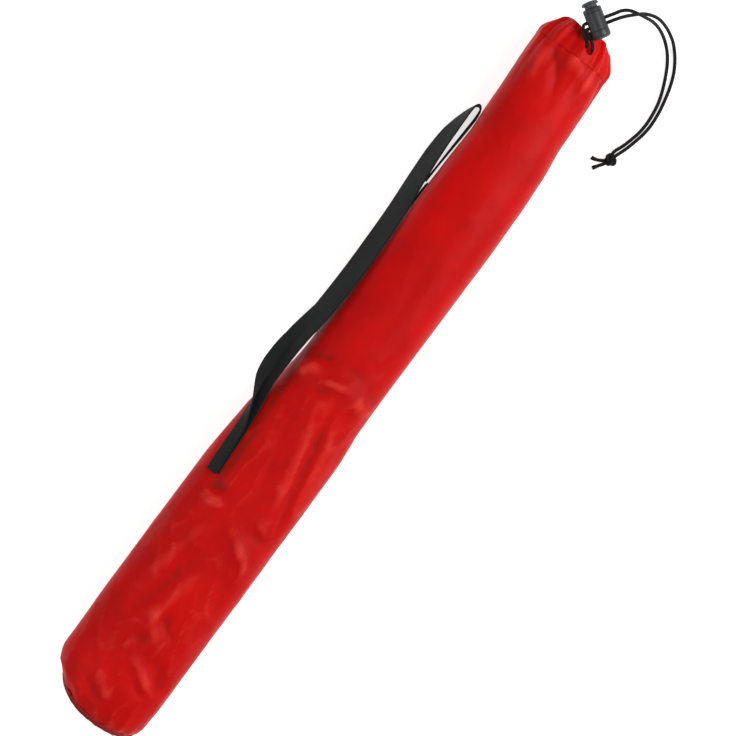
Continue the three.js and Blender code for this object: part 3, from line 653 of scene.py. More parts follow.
# Folds on the upper side: how far each stands out (or in, below zero), how wide it is, and its line.
FOLDS = {
    "end of the roll": (2.6, 7.5, [(-26, 34), (-15, 26), (-5, 14)]),
    "knuckle of the roll": (1.9, 4.2, [(-18, 10), (-14, 0), (-11, -15)]),
    "heel of the roll": (2.6, 9.5, [(-10, -20), (-14, -31), (-22, -44)]),
    "tuck past the roll": (-2.0, 6, [(-6, 34), (2, 22), (5, 8)]),
    "second tuck": (-1.3, 7, [(8, 2), (6, -14), (0, -26)]),
    "heel tuck": (-1.6, 7, [(0, -28), (-6, -38), (-14, -46)]),
    "dent on the roll": (-1.6, 6, [(-30, 16), (-24, 5), (-20, -8)]),
    "long groove": (-2.7, 6, [(-15, -6), (-28, -14), (-47, -16), (-82, -25), (-123, -34), (-159, -41),
                              (-185, -45)]),
    "long ridge": (2.1, 7.5, [(-19, -25), (-50, -28), (-76, -33), (-119, -39), (-150, -45)]),
    "ridge above the groove": (1.6, 7, [(-34, -2), (-70, -10), (-110, -19), (-150, -27)]),
    "middle slack": (-1.3, 8, [(-40, 14), (-75, 8), (-120, -4), (-160, -12)]),
    "middle ridge": (1.1, 8, [(-36, 26), (-70, 20), (-110, 10)]),
    "short crease": (2.0, 5, [(-168, -8), (-180, -20), (-190, -32), (-204, -37)]),
    "shade of the crease": (-1.9, 6, [(-158, -20), (-163, -30), (-160, -42)]),
    "diagonal fold": (-2.4, 7.5, [(-205, 4), (-225, 9), (-245, 13), (-274, 22), (-290, 31)]),
    "diagonal ridge": (2.2, 8, [(-160, 10), (-194, 19), (-222, 26), (-255, 32)]),
    "lower diagonal ridge": (1.9, 8, [(-210, -8), (-240, -1), (-262, 2), (-284, 12)]),
    "side ridge": (1.7, 8, [(-140, 30), (-181, 32), (-217, 39)]),
    "fold under the strap": (-2.2, 4.5, [(-152, 37), (-147, 27), (-143, 15)]),
    "patch under the strap": (1.8, 6.5, [(-158, 30), (-160, 22), (-154, 12)]),
    "slack by the edge": (-1.4, 9, [(-196, -30), (-222, -34), (-246, -42)]),
    "edge ridge": (1.6, 9, [(-230, -26), (-262, -30), (-292, -40)]),
    "hollow": (-2.1, 7.5, [(-299, 13), (-295, 2), (-291, -9)]),
    "second hollow": (-1.9, 7, [(-264, 0), (-274, -12), (-284, -28)]),
    "ridge between": (1.8, 6.5, [(-258, 12), (-280, -3), (-302, -20)]),
    "base ridge": (2.4, 6, [(-304, 4), (-318, -9), (-326, -24), (-334, -42)]),
    "base crease": (-2.2, 5.5, [(-311, 0), (-324, -13), (-342, -39)]),
    "base side crease": (-2.0, 6.5, [(-298, -18), (-312, -31), (-333, -42)]),
    "base corner crease": (-1.8, 5, [(-346, 27), (-357, 11), (-366, -8)]),
    "base corner ridge": (1.6, 5.5, [(-334, 18), (-346, 5), (-360, -12)]),
    "base slack": (-1.2, 8, [(-318, 34), (-334, 26), (-344, 10)]),
    "quiet fold": (-0.9, 9, [(130, -3), (90, -8), (55, -6), (12, 7)]),
    "second quiet fold": (-1.0, 9, [(262, 32), (215, 20), (160, 5)]),
    "quiet ridge": (0.9, 10, [(250, 8), (180, -10), (110, -20)]),
    "tuck at the lump": (-1.2, 6, [(44, -38), (20, -28), (10, -18)]),
    "mouth groove": (-2.9, 6, [(352, 31), (340, 18), (324, 4), (300, -4)]),
    "mouth facet": (2.3, 8.5, [(353, 14), (346, -2), (334, -20), (322, -30)]),
    "mouth side crease": (-1.9, 5, [(353, -27), (340, -34), (320, -40)]),
    "mouth ridge": (1.5, 6.5, [(350, 38), (330, 28), (296, 22)]),
}


def power(v):
    return np.sign(v) * np.abs(v) ** (2 / SECTION_POWER)


def bag_form(x):
    """Shift, half width and height of the bag at distances x along it."""
    s = np.clip(np.asarray(x, dtype=float) - BASE_MM, 0, BAG_FORM[-1, 0])
    k = np.clip(np.searchsorted(BAG_FORM[:, 0], s, side="right") - 1, 0, len(BAG_FORM) - 2)
    t = (s - BAG_FORM[k, 0]) / (BAG_FORM[k + 1, 0] - BAG_FORM[k, 0])
    t = 0.5 * t + 0.5 * t * t * (3 - 2 * t)
    return [BAG_FORM[k, c] + (BAG_FORM[k + 1, c] - BAG_FORM[k, c]) * t for c in (1, 2, 3)]


def ring_angles(half, height, count):
    """Angles that share a section's outline into equal lengths, from the strap's side over the top."""
    fine = np.linspace(0, 2 * np.pi, 721)
    y, z = half * power(np.cos(fine)), height / 2 * power(np.sin(fine))
    reach = np.concatenate([[0], np.cumsum(np.hypot(np.diff(y), np.diff(z)))])
    return np.interp(np.arange(count) / count * reach[-1], reach, fine)


def bag_grid(xs, count, inset=0.0):
    """Points of the bag's skin in millimetres, and the angle of each in its section."""
    shift, half, height = bag_form(xs)
    angles = np.array([ring_angles(h, t, count) for h, t in zip(half, height)])
    y = shift[:, None] + (half[:, None] - inset) * power(np.cos(angles))
    z = height[:, None] / 2 - FLAT_SAG + (height[:, None] / 2 + FLAT_SAG - inset) * power(np.sin(angles))
    z = np.maximum(z, inset + 0.05)
    x = np.repeat(np.asarray(xs, dtype=float)[:, None], count, axis=1)
    # the base's corners are drawn in, further on the strap's side
    near = np.clip(1 - (x - BASE_MM) / 42, 0, 1) ** 1.6
    corner = 9 * np.clip((y + 6) / 42, 0, 1.25) ** 2.2 + 5.5 * np.clip((-y - 14) / 34, 0, 1.2) ** 2
    x = x + near * corner * 1.5
    return np.stack([x, y, z], axis=2), angles


def grid_normals(p):
    along = np.gradient(p, axis=0)
    around = (np.roll(p, -1, axis=1) - np.roll(p, 1, axis=1)) / 2
    n = np.cross(around, along)
    n /= np.maximum(np.linalg.norm(n, axis=2, keepdims=True), 1e-9)
    outwards = p[:, :, 1:] - p[:, :, 1:].mean(axis=1, keepdims=True)
    if (n[:, :, 1:] * outwards).sum() < 0:
        n = -n
    return n


def fold_field(p, n):
    """How far the named folds move each point, and only on the upper side."""
    upper = np.clip((n[:, :, 2] + 0.05) / 0.45, 0, 1)
    upper = upper * upper * (3 - 2 * upper)
    total = np.zeros(p.shape[:2])
    for rise, width, line in FOLDS.values():
        best, place = along_line(p, line)
        ends = np.clip(np.minimum(place, 1 - place) / 0.3, 0.25, 1)
        sharp = np.exp(-(best / width) ** 2) if rise > 0 else np.exp(-(best / width) ** 1.5)
        total += rise * ends * sharp * upper
    return total


def strap_shade(p, n):
    """Painted shade on the bag's cloth along the strap, where the strap lies close over it."""
    best, _ = along_line(p, [(-142, 29), (-100, 30), (-60, 33), (-30, 35), (-6, 36), (30, 40)])
    return 0.55 * np.exp(-(best / 4.5) ** 2) * (n[:, :, 2] > 0)


def along_line(p, line):
    """How far each point is from a line seen from above, and where along it from 0 to 1."""
    line = np.array([(q.x, q.y) for q in spline([Vector((x, y, 0)) for x, y in line], 14)])
    reach = np.concatenate([[0], np.cumsum(np.hypot(*np.diff(line, axis=0).T))])
    best = np.full(p.shape[:2], 1e9)
    place = np.zeros(p.shape[:2])
    for i, (a, b) in enumerate(zip(line[:-1], line[1:])):
        d = b - a
        t = np.clip(((p[:, :, 0] - a[0]) * d[0] + (p[:, :, 1] - a[1]) * d[1]) / (d @ d), 0, 1)
        away = np.hypot(p[:, :, 0] - a[0] - t * d[0], p[:, :, 1] - a[1] - t * d[1])
        nearer = away < best
        best = np.where(nearer, away, best)
        place = np.where(nearer, (reach[i] + t * (reach[i + 1] - reach[i])) / reach[-1], place)
    return best, place


def crumple_field(p, angles):
    """Random creases: small crisp ones, more of them round the roll, and gathers at both ends."""
    rows, count = p.shape[:2]
    total = np.zeros((rows, count))
    for i in range(rows):
        for j in range(count):
            x, y, z = p[i, j]
            lower = 1.0 if x < -20 else max(0.35, 1 - (x + 20) / 60)
            if x > 280:
                lower = max(lower, min(1.0, (x - 280) / 60))
            place = Vector((x * 0.014, y * 0.034, z * 0.034))
            wide = noise.noise(place)
            sharp = 1 - abs(noise.noise(Vector((x * 0.02 + 9, y * 0.05 - x * 0.012, z * 0.05))))
            small = 1 - abs(noise.noise(Vector((x * 0.05 + 31, y * 0.07 + x * 0.02, z * 0.07 + 5))))
            total[i, j] = lower * (wide + 0.75 * (sharp**9 - 0.25) + 0.32 * (small**9 - 0.2))
    base = np.clip(1 - (p[:, :, 0] - BASE_MM) / 34, 0, 1) ** 1.5
    total += base * 0.9 * np.sin(angles * 17 + 1.7 * np.sin(angles * 3))
    mouth = np.clip((p[:, :, 0] - (HEM_MM - 62)) / 62, 0, 1) ** 1.6
    return total * (1 - 0.5 * mouth) + mouth * pleats(angles)


def pleats(angles):
    """Gathers that the drawstring pulls into the cloth, in millimetres."""
    return 1.15 * np.sin(angles * 13 + 1.9 * np.sin(angles * 2 + 0.6)) + 0.45 * np.sin(angles * 23 + 2.0)


def swell(p, pinned):
    """A short cloth simulation: the cloth, cut a little large, is blown out gently between its seams.
    Returns how far each point of the grid moves, in millimetres."""
    rows, count = p.shape[:2]
    faces = []
    for i in range(rows - 1):
        for k in range(count):
            m = (k + 1) % count
            faces.append((i * count + k, i * count + m, (i + 1) * count + m, (i + 1) * count + k))
    mesh = bpy.data.meshes.new("cloth_trial")
    mesh.from_pydata([tuple(q) for q in (p * MM).reshape(-1, 3)], [], faces)
    trial = bpy.data.objects.new("cloth_trial", mesh)
    bpy.context.collection.objects.link(trial)
    with editing(trial) as work:
        face_outwards(work)
    group = trial.vertex_groups.new(name="sewn")
    flat = pinned.reshape(-1)
    for share in (1.0, 0.6):
        group.add([i for i in range(len(flat)) if abs(flat[i] - share) < 0.01], share, "REPLACE")
    cloth = trial.modifiers.new("cloth", "CLOTH")
    settings = cloth.settings
    settings.quality = 6
    settings.mass = 0.12
    settings.tension_stiffness = settings.compression_stiffness = 18
    settings.shear_stiffness = 6
    settings.bending_stiffness = 0.25
    settings.air_damping = 2.0
    settings.use_pressure = True
    settings.uniform_pressure_force = 2.2
    settings.shrink_min = -0.035
    settings.vertex_group_mass = "sewn"
    settings.effector_weights.gravity = 0
    scene = bpy.context.scene
    for number in range(1, 19):
        scene.frame_set(number)
    graph = bpy.context.evaluated_depsgraph_get()
    result = trial.evaluated_get(graph).to_mesh()
    after = np.empty(len(result.vertices) * 3)
    result.vertices.foreach_get("co", after)
    moved = after.reshape(rows, count, 3) / MM - p
    scene.frame_set(1)
    bpy.data.objects.remove(trial)
    reach = np.linalg.norm(moved, axis=2, keepdims=True)
    return moved * np.minimum(1, SWELL_CAP / np.maximum(reach, 1e-6))


BAG_END = {}                # how the finished cloth's last ring differs from the plain casing
SWELL_CAP = 1.6             # how far the simulation may move the cloth, in millimetres


def finer(field, rows, count):
    """A grid of moves spread over a finer grid, which is closed round the bag."""
    r0, c0 = field.shape[:2]
    closed = np.concatenate([field, field[:, :1]], axis=1)
    r = np.linspace(0, r0 - 1, rows)
    c = np.arange(count) / count * c0
    i, j = np.minimum(r.astype(int), r0 - 2), np.minimum(c.astype(int), c0 - 1)
    u, v = (r - i)[:, None, None], (c - j)[None, :, None]
    return ((1 - u) * (1 - v) * closed[i][:, j] + u * (1 - v) * closed[i + 1][:, j]
            + (1 - u) * v * closed[i][:, j + 1] + u * v * closed[i + 1][:, j + 1])


def blurred(field, times):
    for _ in range(times):
        field = (field + np.roll(field, 1, 1) + np.roll(field, -1, 1)
                 + np.concatenate([field[:1], field[:-1]]) + np.concatenate([field[1:], field[-1:]])) / 5
    return field


def make_bag():
    """The bag's cloth from its base seam to its casing, with a real thickness."""
    rows, count = 250, 120
    end = HEM_MM - 0.3
    lengthwise = BASE_MM + 0.25 + (end - BASE_MM - 0.25) * np.linspace(0, 1, rows)
    p, angles = bag_grid(lengthwise, count)
    n = grid_normals(p)
    folds = fold_field(p, n)
    crumple = crumple_field(p, angles)
    # both long sides are drawn tight and lie smooth
    under = np.clip((p[:, :, 2] - 1.0) / 9, 0, 1) * (0.3 + 0.7 * np.clip((n[:, :, 2] - 0.1) / 0.5, 0, 1))
    ends = np.clip((p[:, :, 0] - BASE_MM) / 8, 0.15, 1)
    offset = (folds + crumple * under) * ends
    cloth = p + n * offset[:, :, None]
    start = cloth[::3, ::2]
    pinned = np.zeros(start.shape[:2])
    pinned[start[:, :, 2] < 3.0] = 0.6
    pinned[:2] = pinned[-2:] = 1.0
    # the cloth may only fill out from here, so that nothing in the bag shows through it
    facing = n[::3, ::2]
    swollen = blurred(np.clip((swell(start, pinned) * facing).sum(axis=2), 0, SWELL_CAP), 5)
    fade = np.clip(np.minimum(p[:, :, 0] - BASE_MM, end - p[:, :, 0]) / 30, 0, 1)
    fade = fade * np.clip(n[:, :, 2], 0, 1)
    cloth = cloth + n * (finer(swollen[:, :, None], rows, count)[:, :, 0] * fade)[:, :, None]
    cloth[:, :, 2] = np.maximum(cloth[:, :, 2], 0.05)
    half, tall = HEM_HALF, UPPER_HEIGHT / 2
    gathers = pleats(angles[-1])
    BAG_END["angle"] = angles[-1]
    BAG_END["y"] = cloth[-1, :, 1] - (half + gathers) * power(np.cos(angles[-1])) - MOUTH_SHIFT
    BAG_END["z"] = cloth[-1, :, 2] - np.maximum(AXIS_MM + (tall + gathers) * power(np.sin(angles[-1])), 0.3)
    # fold values for the colour: painted highlight on the ridges, painted shade in the grooves and along the
    # strap
    relief = ((cloth - p) * n).sum(axis=2)
    relief = relief - blurred(relief, 12)
    shade = np.clip(0.5 + relief / 3.2, 0, 1) - strap_shade(p, n)
    lists = [[Vector(q) * MM for q in row] for row in cloth]
    piece = grid_piece("bag_cloth", lists, BAG_CLOTH)
    set_fold(piece, shade.reshape(-1))
    with editing(piece) as work:
        face_outwards(work)
        if sum(f.normal.z * (f.calc_center_median().z - AXIS_Z) for f in work.faces) < 0:
            bmesh.ops.reverse_faces(work, faces=work.faces)
    add_thickness(piece, CLOTH, -1)
    return finish_piece(piece, "bag", "bag_cloth", "bag_body")


def cloth_finder(piece):
    """Finds places on a finished cloth: a function of the distance along the bag and the angle."""
    tree = BVHTree.FromObject(piece, bpy.context.evaluated_depsgraph_get())

    def find(x, angle, lift=0.0):
        shift, half, height = [float(v) for v in bag_form(x)]
        way = Vector((0, half * power(math.cos(angle)), height / 2 * power(math.sin(angle)))).normalized()
        centre = Vector((x, shift, height / 2 - FLAT_SAG)) * MM
        hit, normal, _, _ = tree.ray_cast(centre + way * 0.12, -way)
        if hit is None:
            return centre + way * half * MM, way
        return hit + normal * lift * MM, normal

    return find


# ------------------------------------------------------------------ stitches
def stitch_tool():
    """Geometry nodes: one stitch after another along a curve, each laid in the line's direction."""
    tree = bpy.data.node_groups.new("stitch_line", "GeometryNodeTree")
    sockets = {}
    for name, kind in (("Geometry", "NodeSocketGeometry"), ("Pitch", "NodeSocketFloat"),
                       ("Length", "NodeSocketFloat"), ("Thread", "NodeSocketFloat"),
                       ("Material", "NodeSocketMaterial")):
        sockets[name] = tree.interface.new_socket(name, in_out="INPUT", socket_type=kind).identifier
    tree.interface.new_socket("Geometry", in_out="OUTPUT", socket_type="NodeSocketGeometry")
    into = tree.nodes.new("NodeGroupInput")
    out = tree.nodes.new("NodeGroupOutput")
    points = add_node(tree, "GeometryNodeCurveToPoints", {"Curve": into.outputs["Geometry"],
                                                         "Length": into.outputs["Pitch"]}, mode="LENGTH")
    thread = add_node(tree, "GeometryNodeMeshUVSphere", {"Radius": into.outputs["Thread"]},
                      {"Segments": 6, "Rings": 5})
    half = calc(tree, "MULTIPLY", calc(tree, "DIVIDE", into.outputs["Length"], into.outputs["Thread"]), 0.5)
    scale = add_node(tree, "ShaderNodeCombineXYZ", {"Z": half}, {"X": 1.0, "Y": 0.7})
    placed = add_node(tree, "GeometryNodeInstanceOnPoints",
                      {"Points": points.outputs["Points"], "Instance": thread.outputs["Mesh"],
                       "Rotation": points.outputs["Rotation"], "Scale": scale.outputs["Vector"]})
    real = add_node(tree, "GeometryNodeRealizeInstances", {"Geometry": placed.outputs["Instances"]})
    dressed = add_node(tree, "GeometryNodeSetMaterial", {"Geometry": real.outputs["Geometry"],
                                                         "Material": into.outputs["Material"]})
    tree.links.new(dressed.outputs["Geometry"], out.inputs["Geometry"])
    return tree, sockets


STITCHES, STITCH_SOCKETS = stitch_tool()


def stitch_line(name, paths, pitch, length, thread, material, body, slot):
    """Stitches along one or more paths in metres; sizes are in millimetres."""
    curve = bpy.data.curves.new(name, "CURVE")
    curve.dimensions = "3D"
    for path in paths:
        line = curve.splines.new("POLY")
        line.points.add(len(path) - 1)
        for point, place in zip(line.points, path):
            point.co = (*place, 1)
    piece = bpy.data.objects.new(name, curve)
    bpy.context.collection.objects.link(piece)
    tool = piece.modifiers.new("stitches", "NODES")
    tool.node_group = STITCHES
    for key, value in (("Pitch", pitch * MM), ("Length", length * MM), ("Thread", thread * MM / 2),
                       ("Material", material)):
        tool[STITCH_SOCKETS[key]] = value
    piece = soften(settle(piece))
    if not piece.data.materials:
        piece.data.materials.append(material)
    return finish_piece(piece, body, slot)


# ------------------------------------------------------------------ base
def base_ring(x, inset=0.0, count=160):
    return [Vector(q) for q in bag_grid([x], count, inset)[0][0]]


def make_base():
    """The end panel, the tape bound over its seam, the seam's stitches and the loose thread ends."""
    edge, shoulder = base_ring(BASE_MM), base_ring(BASE_MM + 6)
    rim = base_ring(BASE_MM, CLOTH + 0.3)
    middle = middle_of(rim)
    rows = []
    for share in (1.0, 0.985, 0.95, 0.88, 0.76, 0.6, 0.4, 0.2, 0.06):
        ring = []
        for k, p in enumerate(rim):
            q = middle.lerp(p, share)
            pucker = 0.6 * share**4 * math.sin(k / len(rim) * 2 * math.pi * 19)
            sag = 1.1 * noise.noise(Vector((0, q.y * 0.05, q.z * 0.05)))
            q.x += 0.4 + (1 - share**3) * (1.5 + sag) + pucker * (0.0 if share > 0.99 else 1.0)
            ring.append(q * MM)
        rows.append(ring)
    panel = grid_piece("base_end", rows, BAG_CLOTH)
    hub = middle * MM
    with editing(panel) as work:
        inner = [e for e in work.edges if e.is_boundary and (e.verts[0].co - hub).length < 0.008]
        bmesh.ops.holes_fill(work, edges=inner, sides=0)
    thicken(panel, CLOTH)
    set_fold(panel, [0.45] * len(panel.data.vertices))
    finish_piece(panel, "bag", "bag_cloth", "base_panel")

    rows = []
    section = ((2.7, 0.2), (2.8, 0.5), (2.0, 0.75), (1.0, 0.85), (0, 0.85), (-0.9, 0.7), (-1.5, 0.1),
               (-1.55, -0.9), (-1.4, -1.8), (-1.2, -2.6))
    for along, lift in section:
        ring = []
        for k, (p, q) in enumerate(zip(edge, shoulder)):
            turn = 2 * math.pi * k / len(edge)
            wave = 0.2 * math.sin(turn * 19) + 0.15 * math.sin(turn * 31 + 1)
            place = p.lerp(q, max(0.0, along) / 6)
            out = Vector((0, place.y - middle.y, place.z - middle.z)).normalized()
            place = place + out * (lift + wave * 0.5) + Vector((min(0.0, along) + wave * 0.5, 0, 0))
            place.z = max(place.z, 0.25)
            ring.append(place * MM)
        rows.append(ring)
    tape = grid_piece("base_tape", rows, BINDING)
    thicken(tape, 0.45)
    finish_piece(tape, "bag", "seam_binding", "base_binding")

    seam = []
    for p, q in zip(edge, shoulder):
        place = p.lerp(q, 1.6 / 6)
        out = Vector((0, place.y - middle.y, place.z - middle.z)).normalized()
        place = place + out * 1.25
        seam.append(Vector((place.x, place.y, max(place.z, 0.35))) * MM)
    stitch_line("base_stitches", [seam + seam[:1]], 3.0, 2.2, 0.5, THREAD_RED, "bag", "seam_binding")
    ends = (((-1.5, -24.5, 8.5), (-4.2, -26, 5.4), (-5.6, -29.5, 3.6), (-5.2, -33, 2.6)),
            ((-1.5, -8, 30), (-4.6, -9.6, 27), (-5.2, -13, 24)))
    for i, points in enumerate(ends):
        path = spline([Vector((BASE_MM + x, y, z)) * MM for x, y, z in points], 16)
        loose = tube_piece(f"base_thread_end_{i + 1}", path, 0.28 * MM, THREAD_BLACK, 6)
        finish_piece(loose, "bag", "seam_binding")


# ------------------------------------------------------------------ mouth
MOUTH_SHIFT = 4.5           # the gathered mouth lies over to the strap's side
INNER_SHARE = 0.85          # how much of that its inside takes part in


def mouth_ring(share, inner, count=200):
    """A ring of the casing at a share of its depth, with the gathers that the drawstring pulls in."""
    x = HEM_MM + share * (RIM_MM - HEM_MM)
    if inner:
        half = (lerp(CASING_HALF + 0.6, MOUTH_RADIUS, share), MOUTH_RADIUS)
    else:
        near = max(0.0, share)
        half = (lerp(HEM_HALF, RIM_HALF, near**2.4), lerp(UPPER_HEIGHT / 2, RIM_HALF, near**2.2))
    angles = ring_angles(half[0], 2 * half[1], count)
    ring = []
    carry = (1 - max(0.0, share)) ** 1.5
    for a in angles:
        depth = float(pleats(a)) * (1.0 + 0.5 * share) * (0.5 if inner else 1.0)
        depth += 0.35 * smooth(-share / 0.04)
        y = (half[0] + depth) * power(math.cos(a)) + MOUTH_SHIFT * (INNER_SHARE if inner else 1.0)
        z = AXIS_MM + (half[1] + depth * (0.45 if math.sin(a) < 0 else 1.0)) * power(math.sin(a))
        # the rim's lip stands out on the strap's side
        y += 1.6 * max(0.0, share) * max(0.0, math.cos(a)) ** 2 * (0.0 if inner else 1.0)
        y += carry * float(np.interp(a, BAG_END["angle"], BAG_END["y"], period=2 * math.pi))
        z += carry * float(np.interp(a, BAG_END["angle"], BAG_END["z"], period=2 * math.pi))
        # the rim is drawn back at both sides
        back = 9 * smooth((-y - 10) / 24) + 8 * smooth((y - 26) / 18) + 0.9 * math.sin(a * 5 + 1)
        ring.append(Vector((x - max(0.0, share) * back, y, max(z, 0.3 + 0.7 * share))) * MM)
    return ring


def make_mouth():
    outer = [-0.06, -0.03, 0, 0.06, 0.13, 0.2, 0.28, 0.36, 0.44, 0.52, 0.6, 0.68, 0.76, 0.84, 0.9, 0.95,
             0.985]
    inside = [0.97, 0.88, 0.76, 0.64, 0.52, 0.4, 0.28, 0.16, 0.08, 0.02]
    rim = []
    for a, b in zip(mouth_ring(1, False), mouth_ring(1, True)):
        rim.append(a.lerp(b, 0.5) + Vector((0.8 * MM, 0, 0)))
    rows = [mouth_ring(t, False) for t in outer]
    rows.append([a.lerp(b, 0.2) for a, b in zip(mouth_ring(1, False), rim)])
    rows.append(rim)
    rows += [mouth_ring(t, True) for t in inside]
    piece = grid_piece("mouth_casing", rows, BAG_CLOTH, closed_rows=True)
    thicken(piece, 0.5, -1.0)
    long, wide = SLIT_HALF
    slit = [(long * math.copysign(abs(math.cos(t)) ** 0.8, math.cos(t)), wide * math.sin(t))
            for t in circle(20)]
    turn = SLIT_TURN
    ends = []
    for z in (SLIT_TOP - 4.5, SLIT_TOP + 12):
        ends.append([mm(RIM_MM + SLIT_X + 1 + u * math.cos(turn) - v * math.sin(turn),
                        SLIT_Y + u * math.sin(turn) + v * math.cos(turn), z) for u, v in slit])
    combine(piece, prism(*ends, BAG_CLOTH))
    # painted shade in the hollows of the gathers and a painted highlight on their crests, through the fold
    # attribute
    shades = []
    for vertex in piece.data.vertices:
        a = math.atan2(vertex.co.z - AXIS_Z, vertex.co.y - MOUTH_SHIFT * MM)
        share = (vertex.co.x - HEM_X) / (RIM_X - HEM_X)
        shades.append(min(1.0, max(0.0, 0.48 + 0.1 * float(pleats(a)) * share)))
    set_fold(piece, shades)
    soften(piece, 0.9)
    finish_piece(piece, "bag", "bag_cloth", "mouth_hem")

    edge = []
    for u, v in slit + slit[:1]:
        x = SLIT_X + 1 + 1.16 * u * math.cos(turn) - 1.25 * v * math.sin(turn)
        y = SLIT_Y + 1.16 * u * math.sin(turn) + 1.25 * v * math.cos(turn)
        edge.append((RIM_MM + x, y))
    tree = BVHTree.FromObject(piece, bpy.context.evaluated_depsgraph_get())
    path = []
    for x, y in edge:
        hit, normal, _, _ = tree.ray_cast(Vector((x * MM, y * MM, 0.12)), Vector((0, 0, -1)))
        if hit is not None and hit.z > AXIS_Z:
            path.append(hit + normal * 0.15 * MM)
    stitch_line("slit_stitches", [path], 0.95, 1.5, 0.45, THREAD_RED, "bag", "bag_cloth")
    rings = []
    for share in (0.04, 0.1):
        rings.append([p + (p - Vector((p.x, MOUTH_SHIFT * MM, AXIS_Z))).normalized() * 0.05 * MM
                      for p in mouth_ring(share, False)])
    stitch_line("casing_stitches", [ring + ring[:1] for ring in rings], 3.0, 2.2, 0.4, THREAD_RED,
                "bag", "bag_cloth")

    start = math.pi / 2 + 0.165 + 0.13
    round_mouth = []
    for k in range(61):
        a = start + (2 * math.pi - 0.26) * k / 60
        y = MOUTH_SHIFT * INNER_SHARE + (CASING_SIDE - 2.0) * power(math.cos(a))
        z = AXIS_MM + (CASING_HALF - 1.2) * power(math.sin(a))
        round_mouth.append(Vector((RIM_MM + SLIT_X, y, z)) * MM)
    ring = tube_piece("drawstring_in_casing", spline(round_mouth, 160), CORD / 2 * MM, CORD_BRAID, 12)
    finish_piece(ring, "bag", "cord", "casing_cord")


# ------------------------------------------------------------------ carry strap
def bag_top(s, y):
    shift, half, height = [float(v) for v in bag_form(BASE_MM + s)]
    share = min(0.999, abs(y - shift) / half)
    return height / 2 - FLAT_SAG + (height / 2 + FLAT_SAG) * (1 - share**SECTION_POWER) ** (1 / SECTION_POWER)


def on_bag(s, y, lift, tilt, fold):
    return (s, y, bag_top(s, y) + lift, tilt, fold)


SHOULDER = bag_top(315, 43)
# Distance from the base, y, z, tilt of the webbing's width below +Y, and how far it is folded over
# lengthwise, both in degrees.
STRAP_ROUTE = [
    on_bag(243, 38, 3.1, 25, 172), on_bag(269, 39.5, 3.1, 27, 172), on_bag(291, 40.5, 3.6, 31, 164),
    on_bag(315, 43, 5.2, 38, 132), (336, 46, SHOULDER + 2.2, 44, 92), (356, 47.5, SHOULDER - 0.8, 48, 56),
    (381, 48.5, 47, 48, 22), (416, 46.5, 45.5, 45, 0), (456, 45.5, 44, 45, 0), (491, 46, 41, 46, 0),
    (526, 47.5, 36, 49, 0), (561, 50.5, 29, 53, 0), (591, 52.5, 22.5, 56, 0), (613, 52.5, 18.5, 62, 0),
    (629, 51, 16, 72, 0), (639, 49.4, 14.8, 82, 0), (645.5, 47.2, 14.2, 88, 0), (647.5, 44.6, 14.1, 90, 0),
    (645.5, 42, 14.3, 91, 0), (638, 40.6, 15, 92, 0), (621, 40.9, 16.5, 92, 0), (601, 41.7, 18.2, 91, 0),
    (581, 42.3, 19.8, 90, 0), (565, 42.6, 21, 90, 0),
]


def strap_rings():
    """Rings of the webbing along its route: rounded at both edges, cupped a little, and folded at one end."""
    steps = 300
    marks = [Vector((BASE_MM + s, y, z)) for s, y, z, _, _ in STRAP_ROUTE]
    centres = spline(marks, steps)
    nearest = []
    k = 0
    for mark in marks:
        k = min(range(k, steps + 1), key=lambda i: (centres[i] - mark).length)
        nearest.append(k)
    rings = []
    for i, at in enumerate(centres):
        tilt = math.radians(float(np.interp(i, nearest, [r[3] for r in STRAP_ROUTE])))
        fold = math.radians(float(np.interp(i, nearest, [r[4] for r in STRAP_ROUTE])))
        ahead = (centres[min(i + 1, steps)] - centres[max(i - 1, 0)]).normalized()
        side = Vector((0, math.cos(tilt), -math.sin(tilt)))
        side = (side - ahead * side.dot(ahead)).normalized()
        up = ahead.cross(side)
        if up.z < 0 and i < steps * 0.6:
            up = -up
        rings.append(web_ring(at, side, up, fold, i / steps))
    return rings


def web_ring(at, side, up, fold, share):
    """One section of webbing: its width runs along side, and the half away from it may fold over."""
    half, thick = WEB_WIDTH / 2, WEB_THICK / 2
    line = []
    across = [-1, -0.93, -0.8, -0.6, -0.4, -0.2, -0.06, 0.06, 0.2, 0.4, 0.6, 0.8, 0.93, 1]
    bend = 1.1 * thick
    offset = 1.2                # the fold runs off the middle, so that both layers end together
    for w in across:
        reach = w * half + offset
        if reach <= 0:
            line.append((reach, 0.0))
        else:
            # the folded part turns about the fold on a small radius
            arc = min(fold, reach / bend) if fold > 0.02 else 0.0
            rest = reach - arc * bend
            x = bend * math.sin(arc) + rest * math.cos(arc)
            z = bend * (1 - math.cos(arc)) + rest * math.sin(arc)
            line.append((x, z))
    centre = 0.25 * WEB_WIDTH * min(1.0, fold / 1.6) - offset * (1 - min(1.0, fold / 1.6))
    cup = 0.5 * math.sin(share * 23) * (1 - min(1.0, fold))
    points = []
    for way in (1, -1):
        order = range(len(line)) if way > 0 else range(len(line) - 1, -1, -1)
        for k in order:
            before, after = line[max(k - 1, 0)], line[min(k + 1, len(line) - 1)]
            dx, dz = after[0] - before[0], after[1] - before[1]
            size = math.hypot(dx, dz)
            edge = 0.55 if k in (0, len(line) - 1) else 1.0
            x = line[k][0] - dz / size * thick * way * edge + centre
            z = line[k][1] + dx / size * thick * way * edge + cup * (1 - across[k] ** 2)
            points.append((at + side * x + up * z) * MM)
    return points


def capped(piece):
    with editing(piece) as work:
        close_ends(work)
        face_outwards(work)
    piece.data.set_sharp_from_angle(angle=0.9)
    return piece


